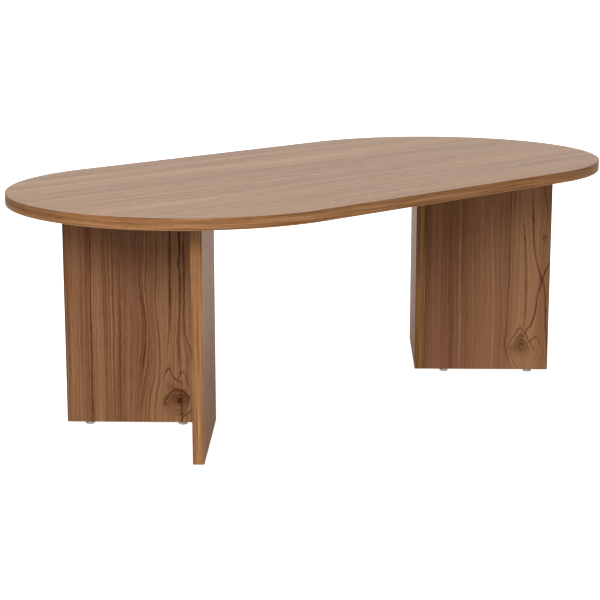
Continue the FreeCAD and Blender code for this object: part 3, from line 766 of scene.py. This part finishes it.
def drawn_figure(tree, across, height, figure, patch):
    """The years and the darkness that a figure gives to a spot of the board."""
    metres_across = calc(tree, "MULTIPLY_ADD", across, MILLIMETRE, patch)
    metres_up = calc(tree, "MULTIPLY", height, MILLIMETRE)
    guides = []
    dark = 0.0
    for line in figure.lines:
        place = drawn_curve(tree, height, line.places, LINE_REACH)
        guides.append((sum(middle for _, middle in line.places) / len(line.places), place))
        if line.dark:
            offset = calc(tree, "SUBTRACT", across, place)
            dark = calc(tree, "ADD", line_shade(tree, offset, height, line, LINE_ENDING), dark)
    years = years_between(tree, across, guides)
    for line in figure.arches:
        offset = calc(tree, "SUBTRACT", height, drawn_curve(tree, across, line.places, LINE_REACH))
        dark = calc(tree, "ADD", line_shade(tree, offset, across, line, ARCH_ENDING), dark)
    fading = streaks(tree, metres_across, metres_up, *FADING)
    dark = calc(tree, "MULTIPLY", dark, fade(tree, fading, *FADING_NOISE, *FADING_STRENGTH))
    for knot in figure.knots:
        distance = knot_distance(tree, across, height, knot, patch)
        inside = fade(tree, distance, *KNOT_EDGE, 1.0, 0.0)
        ringed = calc(tree, "MULTIPLY_ADD", distance, knot.left_width, knot.across)
        years = calc(tree, "MULTIPLY_ADD", calc(tree, "SUBTRACT", ringed, years), inside, years)
        dark = calc(tree, "ADD", knot_shade(tree, distance, height, knot), dark)
    return years, dark


print("lines fade to", FADING_STRENGTH[0], "of their darkness")

# %% [markdown]
# A sheet on a leg carries the print upright, from the edge of the board on. A little noise makes the
# drawn lines stray and jag, because without it they look like wire. One function makes every sheet, since
# only the direction, the figure and the patch of print differ.

# %% One sheet of a leg
MILLIMETRES = 1000.0                    # in a metre
LEG_ROUGHNESS = 0.37
LEG_SHINE = 1.12
# For each straying of the lines: noise a metre, length over width, detail, millimetres
STRAYINGS = ((40.0, 3.0, 1.0, 2.5), (160.0, 2.0, 1.0, 2.0))
GOLDEN_EDGE = 15.0                      # half the millimetres over which the wood turns golden
BOARD_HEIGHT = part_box("left_leg_butt_core")[1].z


def leg_sheet(node_name, across_way, figure, lift, patch):
    """One sheet on a leg: a figure lifted by some millimetres, over its own patch of streaks."""
    finish, tree, shader = new_finish(node_name + "_walnut")
    edge = board_edges(node_name, across_way)[0]
    from_edge = calc(tree, "SUBTRACT", place_along(tree, across_way), edge)
    up = place_along(tree, UPRIGHT)
    across = calc(tree, "MULTIPLY", from_edge, MILLIMETRES)
    for *layer, amount in STRAYINGS:
        straying = streaks(tree, calc(tree, "ADD", from_edge, patch), up, *layer)
        across = calc(tree, "ADD", swing(tree, straying, amount), across)
    height = calc(tree, "MULTIPLY_ADD", up, MILLIMETRES, -lift)
    years, dark = drawn_figure(tree, across, height, figure, patch)

    decor = add_node(tree, "ShaderNodeGroup", {
        "Year": calc(tree, "MULTIPLY_ADD", years, MILLIMETRE, patch),
        "Along": calc(tree, "ADD", up, patch),
    }, node_tree=walnut_print)
    tone = calc(tree, "SUBTRACT", drawn_tone(tree, across, figure.shade, LINE_REACH), dark)
    tone = calc(tree, "MULTIPLY_ADD", decor.outputs["Streaks"], figure.contrast, tone)
    # painted shade at the foot and painted sheen at the head, for the figures that have them
    tone = calc(tree, "ADD", fade(tree, up, 0.0, BOARD_HEIGHT, figure.foot, figure.head), tone)
    golden = fade(tree, across, figure.golden_from - GOLDEN_EDGE, figure.golden_from + GOLDEN_EDGE,
                  0.0, figure.golden)
    walnut_colour(tree, shader, tone, calc(tree, "ADD", decor.outputs["Warmth"], golden))
    lacquer(tree, shader, decor.outputs["Pores"], LEG_ROUGHNESS, LEG_SHINE)
    return finish


print("boards reach", round(BOARD_HEIGHT, 4), "m up")

# %% [markdown]
# Each leg has two boards, and each board an outer and an inner sheet. The faces that the photograph hides
# use the same two figures, turned round or lifted, as a printed roll would give them. The outer sheets of
# the boards that run through to the corner are painted paler, most of all towards the head: painted light
# for the light from the side and the sheen that these faces catch. With the choices in one list, another
# figure is quickly tried on any face.

# %% Sheets on the legs
# For each sheet: which way is across, the figure, how far it is lifted, and the patch of streaks
LEG_SHEETS = {
    "left_leg_butt_inner_sheet": (WIDE_RIGHT, SWAYING, 0, 3.10),
    "left_leg_butt_outer_sheet": (WIDE_LEFT, HOURGLASS, 60, 7.35),
    "left_leg_through_outer_sheet": (SIDE_AWAY, PALE_PAINTED_LIGHT_SWAYING, -70, 5.80),
    "left_leg_through_inner_sheet": (SIDE_NEAR, HOURGLASS, 20, 9.40),
    "right_leg_butt_outer_sheet": (WIDE_RIGHT, HOURGLASS, 0, 4.65),
    "right_leg_butt_inner_sheet": (WIDE_LEFT, SWAYING, 70, 8.20),
    "right_leg_through_outer_sheet": (SIDE_NEAR, PALE_PAINTED_LIGHT_SWAYING, 30, 6.15),
    "right_leg_through_inner_sheet": (SIDE_AWAY, HOURGLASS, -70, 2.75),
}
for node_name, choice in LEG_SHEETS.items():
    dress(node_name, leg_sheet(node_name, *choice))
print("walnut on", len(LEG_SHEETS), "leg sheets")

# %% [markdown]
# The top carries the same print lying along the table, on a stretch with no knots. The eye still finds
# its broad bands of light and dark first, so these are drawn as the lines on the legs were: steps in tone
# across the top, and a few streaks that begin and end on their way. A little noise makes them stray,
# because a streak as straight as a ruler looks painted on.

# %% Streaks drawn on the top
LENGTHWISE = (1.0, 0.0, 0.0)
CROSSWISE = (0.0, 1.0, 0.0)
TOP_REACH = 1200.0                      # millimetres that the curves on the top can cover
TOP_HALF_LENGTH = 600.0                 # millimetres from the middle to where places along the top start
TOP_HALF_WIDTH = 300.0                  # the same for places across it
# Steps in tone by the place across the top, from the near edge on
TOP_SHADE = (
    (0, 0.0), (90, -0.01), (124, 0.01), (150, 0.015), (172, 0.04), (185, 0.025), (204, 0.045),
    (222, 0.005), (268, 0.02), (300, -0.01), (335, -0.02), (362, -0.05), (378, -0.04), (396, 0.02),
    (430, 0.02), (456, 0.04), (478, 0.0), (494, -0.015), (512, 0.02), (526, 0.035), (545, 0.01),
    (600, 0.0),
)
# Streaks by the place along the top, from the left end on
TOP_LINES = (
    GrainLine(-0.09, 10.0, 60, 520, ((0, 474), (300, 462), (500, 458), (700, 440), (1200, 436))),
    GrainLine(-0.05, 12.0, 700, 960, ((0, 432), (1200, 426))),
    GrainLine(0.07, 10.0, 80, 980, ((0, 392), (400, 380), (600, 370), (1200, 364))),
    GrainLine(-0.05, 7.0, 600, 800, ((0, 178), (1200, 172))),
    GrainLine(-0.05, 8.0, 880, 1060, ((0, 200), (1200, 198))),
    GrainLine(-0.05, 8.0, 60, 230, ((0, 206), (1200, 200))),
)
TOP_LINE_ENDING = 80.0                  # millimetres to each side of an end where a streak fades
TOP_TONE_LIFT = 0.5                     # the curve starts at zero, so steps down need to be drawn higher


def top_step(tree, stray):
    """Step in tone that the drawn streaks give to a spot which strays by some millimetres."""
    across = calc(tree, "MULTIPLY_ADD", place_along(tree, CROSSWISE), MILLIMETRES, TOP_HALF_WIDTH)
    across = calc(tree, "ADD", stray, across)
    along = calc(tree, "MULTIPLY_ADD", place_along(tree, LENGTHWISE), MILLIMETRES, TOP_HALF_LENGTH)
    lifted = [(place, rise + TOP_TONE_LIFT) for place, rise in TOP_SHADE]
    step = calc(tree, "SUBTRACT", drawn_tone(tree, across, lifted, TOP_REACH), TOP_TONE_LIFT)
    for line in TOP_LINES:
        offset = calc(tree, "SUBTRACT", across, drawn_curve(tree, along, line.places, TOP_REACH))
        step = calc(tree, "SUBTRACT", step, line_shade(tree, offset, along, line, TOP_LINE_ENDING))
    return step


print("drawn on the top:", len(TOP_LINES), "streaks")

# %% [markdown]
# Seen at such a flat angle the satin lacquer mirrors the white studio, which is why the top looks so much
# paler than the legs although the sheet is the same. The shader's own reflection does most of that, at
# the right angles only; painting the whole top much paler would be wrong from any other side. Its tone is
# still set a little paler than on the legs, which is painted light. A table top gets a harder lacquer
# than legs do, so it shines a little more.

# %% Sheet on the top
TOP_PATCH = 1.37
TOP_ROUGHNESS = 0.45
TOP_SHINE = 1.54
TOP_CONTRAST = 1.0
# the print's tone, set a little paler than on the legs as painted light
TOP_TONE_WITH_PAINTED_LIGHT = 0.555
TOP_GOLD = 0.75
TOP_SWAYING = (3.0, 2.0, 1.0)           # noise a metre, length over width, detail
TOP_SWAY = 0.030                        # metres that the fine lines sway on their way along the top
TOP_STRAY = (5.0, 3.0, 1.0)
TOP_STRAY_WIDTH = 24.0                  # millimetres that the drawn streaks stray
TOP_BUNDLES = (11.0, 10.0, 1.0)         # broad bundles of lines: a metre, length over width, detail
TOP_BUNDLE_TONE = 0.08
TOP_BUNDLE_GOLD = 1.2

top_walnut, tree, shader = new_finish("top_walnut")
top_across = calc(tree, "ADD", place_along(tree, CROSSWISE), TOP_PATCH)
top_along = calc(tree, "ADD", place_along(tree, LENGTHWISE), TOP_PATCH)
top_sway = swing(tree, streaks(tree, top_across, top_along, *TOP_SWAYING), TOP_SWAY)
top_years = calc(tree, "ADD", top_across, top_sway)
decor = add_node(tree, "ShaderNodeGroup", {"Year": top_years, "Along": top_along}, node_tree=walnut_print)
bundles = streaks(tree, top_years, top_along, *TOP_BUNDLES)
stray = swing(tree, streaks(tree, top_across, top_along, *TOP_STRAY), TOP_STRAY_WIDTH)
top_tone = calc(tree, "MULTIPLY_ADD", decor.outputs["Streaks"], TOP_CONTRAST, TOP_TONE_WITH_PAINTED_LIGHT)
top_tone = calc(tree, "ADD", swing(tree, bundles, TOP_BUNDLE_TONE), top_tone)
top_tone = calc(tree, "ADD", top_step(tree, stray), top_tone)
top_warmth = calc(tree, "ADD", decor.outputs["Warmth"], TOP_GOLD)
top_warmth = calc(tree, "ADD", swing(tree, bundles, TOP_BUNDLE_GOLD), top_warmth)
walnut_colour(tree, shader, top_tone, top_warmth)
lacquer(tree, shader, decor.outputs["Pores"], TOP_ROUGHNESS, TOP_SHINE)
dress("top_face_sheet", top_walnut)

# %% [markdown]
# The edge of the top is closed by one plastic band, 2 mm thick, glued round the whole outline. Its two
# ends meet in a fine joint at the middle of the back. Sweeping a section along the outline gives that
# shape. The outline is two half circles with straight runs between, so every station on it is a centre
# and a way to face.

# %% Outline of the band
BAND_JOINT = 0.0003                     # metres of gap where the ends of the band meet
ARC_STEPS = 160                         # facets on each half circle

band_low, band_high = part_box("top_edge_band")
end_radius = band_high.y
half_straight = band_high.x - end_radius


def band_stations():
    """Stations round the edge: a centre, the way the edge faces, and the distance from the joint."""
    back = Vector((0.0, 1.0))
    stations = [(Vector((BAND_JOINT / 2, 0.0)), back, 0.0)]
    run = half_straight
    for side in (1, -1):
        for step in range(ARC_STEPS + 1):
            turn = math.pi * step / ARC_STEPS
            facing = Vector((math.sin(turn), math.cos(turn))) * side
            stations.append((Vector((half_straight * side, 0.0)), facing, run + end_radius * turn))
        run += math.pi * end_radius + 2 * half_straight
    stations.append((Vector((-BAND_JOINT / 2, 0.0)), back, run - half_straight))
    return stations


print("band:", round(band_stations()[-1][2], 3), "m long")

# %% [markdown]
# After gluing, the band is trimmed with a small rounding above and below, which catches a thin line of
# light. A bevel could round the edges afterwards, but the section is simple enough to draw: a strip with
# two rounded corners. Its thickness is the room between the face sheet and the outline.

# %% Section of the band
BAND_ROUNDING = 0.001                   # metres
ROUNDING_STEPS = 5

sheet_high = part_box("top_face_sheet")[1]
band_thickness = band_high.x - sheet_high.x


def band_section():
    """Section of the band: (step inwards from the outer face, height) pairs, once round."""
    corners = ((band_low.z + BAND_ROUNDING, -90), (band_high.z - BAND_ROUNDING, 0))
    section = [(band_thickness, band_low.z)]
    for height, first_angle in corners:
        for step in range(ROUNDING_STEPS + 1):
            angle = math.radians(first_angle + 90 * step / ROUNDING_STEPS)
            inwards = BAND_ROUNDING * (1 - math.cos(angle))
            section.append((inwards, height + BAND_ROUNDING * math.sin(angle)))
    section.append((band_thickness, band_high.z))
    return section


print("band:", round(band_thickness, 4), "m thick")

# %% [markdown]
# The sweep sets a ring of points at every station and joins each ring to the next. A bevelled curve would
# give the shape too, but here the distance run along the band is kept as a UV map, so that the printed
# grain can follow the edge round the ends. The new band takes the place of the plainer one that came in.

# %% Band round the top
SHARP_ANGLE = math.radians(40)          # between two faces that show an edge


def sweep_band(name):
    """The band as a closed mesh, with its run and height as UVs."""
    section = band_section()
    shape = bmesh.new()
    run_map = shape.loops.layers.uv.new("band_run")
    rings = []
    runs = {}
    for centre, facing, run in band_stations():
        ring = []
        for inwards, height in section:
            spot = centre + facing * (end_radius - inwards)
            vertex = shape.verts.new((spot.x, spot.y, height))
            runs[vertex] = run
            ring.append(vertex)
        rings.append(ring)
    for ring, following in zip(rings, rings[1:]):
        for index in range(len(section)):
            after = (index + 1) % len(section)
            shape.faces.new((ring[index], ring[after], following[after], following[index]))
    shape.faces.new(list(reversed(rings[0])))
    shape.faces.new(rings[-1])
    bmesh.ops.recalc_face_normals(shape, faces=shape.faces)
    for face in shape.faces:
        face.smooth = True
        for loop in face.loops:
            loop[run_map].uv = (runs[loop.vert], loop.vert.co.z)
    mesh = bpy.data.meshes.new(name)
    shape.to_mesh(mesh)
    shape.free()
    mesh.set_sharp_from_angle(angle=SHARP_ANGLE)
    band = bpy.data.objects.new(name, mesh)
    bpy.context.scene.collection.objects.link(band)
    return band


top_band = sweep_band("top_band")
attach(top_band, "root")
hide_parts("top_edge_band")
print("band:", len(top_band.data.vertices), "points")

# %% [markdown]
# The bands carry a print of their own, more golden than the sheets and without knots: plain lines that
# run along the band. One recipe serves all of them, given a measure across the band and one along it. The
# edges of a band look different from its face, because the trimming knife cuts through the print there
# and the scraper polishes the cut. Most end in a thin darker, smoother line; the lower edge of the top
# ends in a smoother line with a painted highlight, the light that its rounding catches from below.

# %% Band finish
BAND_BROWN = (
    (0.15, screen(92, 56, 30)),
    (0.42, screen(134, 91, 56)),
    (0.60, screen(160, 115, 76)),
    (0.90, screen(190, 145, 103)),
)
BAND_ROUGHNESS = 0.40
BAND_SHINE = 1.12
# For each layer: streaks a metre, length over width, detail of the noise, weight in the tone
BAND_LAYERS = ((70.0, 60.0, 1.0, 0.22), (190.0, 60.0, 2.0, 0.48), (520.0, 70.0, 2.0, 0.60))
BAND_SWAY = (8.0, 1.0, 1.0)             # noise a metre, length over width, detail
BAND_SWAY_WIDTH = 0.004                 # metres
BAND_PORES = (1100.0, 25.0, 0.0)
BAND_PORE_WEIGHT = -0.08
TRIM_WIDTH = 0.0018                     # metres of each edge that the trimming knife touches
TRIM_SMOOTHER = -0.10


def band_finish(name, across_of, along_of, edges, trims, patch, base_tone):
    """Golden wood print for a band; trims are the steps in tone at its two edges; a step above zero is a
    painted highlight.
    """
    finish, tree, shader = new_finish(name)
    place = across_of(tree)
    first_trim = fade(tree, place, edges[0], edges[0] + TRIM_WIDTH, 1.0, 0.0)
    second_trim = fade(tree, place, edges[1] - TRIM_WIDTH, edges[1])
    trimmed = calc(tree, "ADD", first_trim, second_trim)
    across = calc(tree, "ADD", place, patch)
    along = calc(tree, "ADD", along_of(tree), patch)
    sway = swing(tree, streaks(tree, across, along, *BAND_SWAY), BAND_SWAY_WIDTH)
    across = calc(tree, "ADD", across, sway)
    pores = fade(tree, streaks(tree, across, along, *BAND_PORES), PORE_START, PORE_FULL)
    tone = calc(tree, "MULTIPLY_ADD", pores, BAND_PORE_WEIGHT, base_tone)
    tone = calc(tree, "MULTIPLY_ADD", first_trim, trims[0], tone)
    tone = calc(tree, "MULTIPLY_ADD", second_trim, trims[1], tone)
    for per_metre, stretch, detail, weight in BAND_LAYERS:
        layer = streaks(tree, across, along, per_metre, stretch, detail)
        tone = calc(tree, "ADD", tone, swing(tree, layer, weight))
    feed(tree, shader.inputs["Base Color"], tint(tree, tone, BAND_BROWN))
    roughness = calc(tree, "MULTIPLY_ADD", trimmed, TRIM_SMOOTHER, BAND_ROUGHNESS)
    lacquer(tree, shader, pores, roughness, BAND_SHINE)
    return finish


print("band print:", len(BAND_LAYERS), "layers of streaks")

# %% [markdown]
# There are seven bands: one round the top and three on each leg. The print on the top follows the UV map
# round the ends, the one on the legs runs upright with the boards. How much darker the trimmed edges look
# differs from band to band, and the strip at the corner of a leg is painted darker altogether: painted
# shade for the shade it lies in under the top. All this could be painted by hand, but as a short list it
# stays easy to change.

# %% Finish on the bands
BAND_TONE = 0.52
# darker than the other bands: painted shade for the shade under the top
CORNER_PAINTED_SHADE_TONE = 0.45
TOP_BAND_PATCH = 0.9
TRIM_FAINT = -0.04                      # steps in tone
TRIM_DARKER = -0.16
TRIM_DARKEST = -0.36
# a painted highlight: the light that the lower rounding of the top band catches
TRIM_PAINTED_HIGHLIGHT = 0.34


def uv_measure(part):
    """Measure of the band's own UV map: its run (X) or its height (Y)."""
    def measure(tree):
        run_map = add_node(tree, "ShaderNodeUVMap", {}, uv_map="band_run").outputs["UV"]
        return add_node(tree, "ShaderNodeSeparateXYZ", {"Vector": run_map}).outputs[part]
    return measure


def way_measure(direction):
    """Measure along one direction of the table."""
    return lambda tree: place_along(tree, direction)


# the lower edge of the top band gets a painted highlight
top_band.data.materials.append(band_finish(
    "top_band_print", uv_measure("Y"), uv_measure("X"),
    (band_low.z, band_high.z), (TRIM_PAINTED_HIGHLIGHT, TRIM_DARKER), TOP_BAND_PATCH, BAND_TONE))

# For each band: which way is across, the step in tone at its edges, the patch of print, its tone
LEG_BANDS = {
    "through_open_band": (WIDE_RIGHT, TRIM_FAINT, 2.4, BAND_TONE),
    "through_corner_band": (WIDE_RIGHT, TRIM_DARKER, 4.1, CORNER_PAINTED_SHADE_TONE),
    "butt_open_band": (SIDE_AWAY, TRIM_DARKEST, 6.6, BAND_TONE),
}
for leg in ("left_leg", "right_leg"):
    for band, (across_way, trim, patch, base_tone) in LEG_BANDS.items():
        node_name = f"{leg}_{band}"
        dress(node_name, band_finish(node_name + "_print", way_measure(across_way), way_measure(UPRIGHT),
                                     board_edges(node_name, across_way), (trim, trim), patch, base_tone))
print("bands dressed:", 1 + 2 * len(LEG_BANDS))

# %% [markdown]
# Under the legs, and inside every board, is raw chipboard: flat chips of many browns pressed together.
# Voronoi cells are the quick way to get chips, since each cell has its own random colour. Squeezing the
# cells in height makes them lie flat, as pressed chips do.

# %% Chipboard
CHIPS_PER_METRE = 420.0
CHIP_SQUEEZE = (1.0, 1.0, 2.6)          # the cells are squeezed in height
CHIP_BROWNS = (
    (0.05, screen(146, 112, 76)),
    (0.35, screen(174, 138, 98)),
    (0.65, screen(192, 158, 116)),
    (0.95, screen(210, 180, 140)),
)
CHIP_ROUGHNESS = (0.95, 0.75)           # of the darkest and of the palest chips
CHIP_RELIEF = (0.5, 0.0006)             # strength, and depth in metres


def random_cells(tree, place, per_metre):
    """Cells of about one size: a random tone for each, and the distance from its middle."""
    cells = add_node(tree, "ShaderNodeTexVoronoi", {"Vector": place, "Scale": per_metre})
    tone = add_node(tree, "ShaderNodeSeparateColor", {"Color": cells.outputs["Color"]}).outputs["Red"]
    return tone, cells.outputs["Distance"]


def dress_all(endings, finish):
    """Give a finish to every node whose name ends so, and count them."""
    names = [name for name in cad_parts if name.endswith(endings)]
    for name in names:
        dress(name, finish)
    return len(names)


chipboard, tree, shader = new_finish("raw_chipboard")
flattened = add_node(tree, "ShaderNodeVectorMath", {0: table_place(tree), 1: CHIP_SQUEEZE},
                     operation="MULTIPLY").outputs["Vector"]
chip_tone, chip_distance = random_cells(tree, flattened, CHIPS_PER_METRE)
feed(tree, shader.inputs["Base Color"], tint(tree, chip_tone, CHIP_BROWNS))
feed(tree, shader.inputs["Roughness"], fade(tree, chip_tone, 0.0, 1.0, *CHIP_ROUGHNESS))
press_dents(tree, shader, chip_distance, *CHIP_RELIEF)
print("chipboard cores:", dress_all("_core", chipboard))

# %% [markdown]
# The underside of the top is closed with a matt brown paper, which keeps the board from warping and is
# not meant to be seen. Paper has no grain direction, only fibres and clouds, so two plain noises are
# enough.

# %% Backing paper
PAPER_BROWNS = (
    (0.20, screen(128, 92, 66)),
    (0.50, screen(138, 101, 73)),
    (0.80, screen(148, 111, 82)),
)
PAPER_CLOUDS = (14.0, 4.0)              # noise a metre, detail
PAPER_FIBRES = (900.0, 3.0)
FIBRE_WEIGHT = 0.5
FIBRE_NOISE = (0.2, 0.8)
FIBRE_ROUGHNESS = (0.7, 0.9)
FIBRE_RELIEF = (0.2, 0.0002)            # strength, and depth in metres


def plain_noise(tree, per_metre, detail):
    """Noise that is the same in all directions."""
    return add_node(tree, "ShaderNodeTexNoise", {
        "Vector": table_place(tree), "Scale": per_metre, "Detail": detail,
    }).outputs["Fac"]


backing_paper, tree, shader = new_finish("backing_paper")
clouds = plain_noise(tree, *PAPER_CLOUDS)
fibres = plain_noise(tree, *PAPER_FIBRES)
paper_tone = calc(tree, "ADD", clouds, swing(tree, fibres, FIBRE_WEIGHT))
feed(tree, shader.inputs["Base Color"], tint(tree, paper_tone, PAPER_BROWNS))
feed(tree, shader.inputs["Roughness"], fade(tree, fibres, *FIBRE_NOISE, *FIBRE_ROUGHNESS))
press_dents(tree, shader, fibres, *FIBRE_RELIEF)
dress("top_backing_sheet", backing_paper)
print("backing paper on the underside")

# %% [markdown]
# Brackets, screws and nails are steel with a bright zinc plate. Zinc is not a mirror: it has a bluish
# bloom of crystals, each a little rougher or smoother than the next, and fine rolling marks. Voronoi
# cells give the crystals, as they gave the chips, and a plain noise presses the marks in.

# %% Zinc-plated steel
ZINC_GREYS = ((0.0, screen(190, 195, 202)), (1.0, screen(206, 209, 214)))
ZINC_CRYSTALS_PER_METRE = 420.0
ZINC_ROUGHNESS = (0.30, 0.38)
ROLLING_MARKS = (1500.0, 2.0)           # noise a metre, detail
ROLLING_RELIEF = (0.15, 0.0001)         # strength, and depth in metres

zinc_steel, tree, shader = new_finish("zinc_steel_plate")
bloom, _ = random_cells(tree, table_place(tree), ZINC_CRYSTALS_PER_METRE)
feed(tree, shader.inputs["Base Color"], tint(tree, bloom, ZINC_GREYS))
feed(tree, shader.inputs["Roughness"], fade(tree, bloom, 0.0, 1.0, *ZINC_ROUGHNESS))
press_dents(tree, shader, plain_noise(tree, *ROLLING_MARKS), *ROLLING_RELIEF)
shader.inputs["Metallic"].default_value = 1.0
print("zinc-plated nodes:", dress_all(("_bracket", "_screws", "_nails"), zinc_steel))

# %% [markdown]
# The dowels sit inside the joints and are only seen when the table is taken apart. Beech is pale and
# pinkish with countless short dark flecks, which are drawn-out noise again.

# %% Beech dowels
BEECH_PINK = ((0.3, screen(182, 138, 98)), (0.5, screen(206, 166, 124)), (0.7, screen(222, 188, 150)))
BEECH_GRAIN = (300.0, 20.0, 2.0)        # streaks a metre, length over width, detail
BEECH_FLECKS = (1400.0, 5.0, 0.0)
FLECK_NOISE = (0.62, 0.70)              # where a fleck begins and where it is full
FLECK_DARKER = -0.2
BEECH_ROUGHNESS = (0.62, 0.75)          # beside the flecks and on them
FLECK_RELIEF = (0.2, 0.0001)            # strength, and depth in metres

beech, tree, shader = new_finish("beech_dowel")
beech_across = place_along(tree, SIDE_AWAY)
beech_along = place_along(tree, UPRIGHT)
flecks = fade(tree, streaks(tree, beech_across, beech_along, *BEECH_FLECKS), *FLECK_NOISE)
beech_tone = streaks(tree, beech_across, beech_along, *BEECH_GRAIN)
beech_tone = calc(tree, "MULTIPLY_ADD", flecks, FLECK_DARKER, beech_tone)
feed(tree, shader.inputs["Base Color"], tint(tree, beech_tone, BEECH_PINK))
feed(tree, shader.inputs["Roughness"], fade(tree, flecks, 0.0, 1.0, *BEECH_ROUGHNESS))
press_dents(tree, shader, calc(tree, "SUBTRACT", 1.0, flecks), *FLECK_RELIEF)
print("beech nodes:", dress_all("_dowels", beech))

# %% [markdown]
# The glides are grey discs of moulded plastic that keep the boards off the floor. Moulded plastic has a
# fine sparked texture and a slight cloudiness, and picks up scuffs where it slides.

# %% Glide plastic
GLIDE_GREYS = ((0.3, screen(158, 149, 142)), (0.5, screen(178, 169, 162)), (0.7, screen(194, 187, 180)))
GLIDE_CLOUDS = (160.0, 3.0)             # noise a metre, detail
GLIDE_SPARKS = (2600.0, 1.0)
CLOUD_NOISE = (0.3, 0.7)
GLIDE_ROUGHNESS = (0.38, 0.55)
SPARK_RELIEF = (0.2, 0.0001)            # strength, and depth in metres
SCUFF_SCRATCHES = (1200.0, 8.0, 1.0)    # scratches a metre, length over width, detail
SCUFF_NOISE = (0.5, 0.6)                # where a scratch begins and where it is full
SCUFF_PALER = 0.2
SCUFF_ROUGHER = 0.25
SOLE_HEIGHT = 0.0004                    # metres above the floor that touch it when the table is pushed

glide_plastic, tree, shader = new_finish("glide_plastic_moulded")
cloudiness = plain_noise(tree, *GLIDE_CLOUDS)
scratches = streaks(tree, place_along(tree, CROSSWISE), place_along(tree, LENGTHWISE), *SCUFF_SCRATCHES)
sole = fade(tree, place_along(tree, UPRIGHT), SOLE_HEIGHT, 2 * SOLE_HEIGHT, 1.0, 0.0)
scuffs = calc(tree, "MULTIPLY", fade(tree, scratches, *SCUFF_NOISE), sole)
glide_tone = calc(tree, "MULTIPLY_ADD", scuffs, SCUFF_PALER, cloudiness)
glide_roughness = fade(tree, cloudiness, *CLOUD_NOISE, *GLIDE_ROUGHNESS)
glide_roughness = calc(tree, "MULTIPLY_ADD", scuffs, SCUFF_ROUGHER, glide_roughness)
feed(tree, shader.inputs["Base Color"], tint(tree, glide_tone, GLIDE_GREYS))
feed(tree, shader.inputs["Roughness"], glide_roughness)
press_dents(tree, shader, plain_noise(tree, *GLIDE_SPARKS), *SPARK_RELIEF)
print("glide nodes:", dress_all("_glides", glide_plastic))
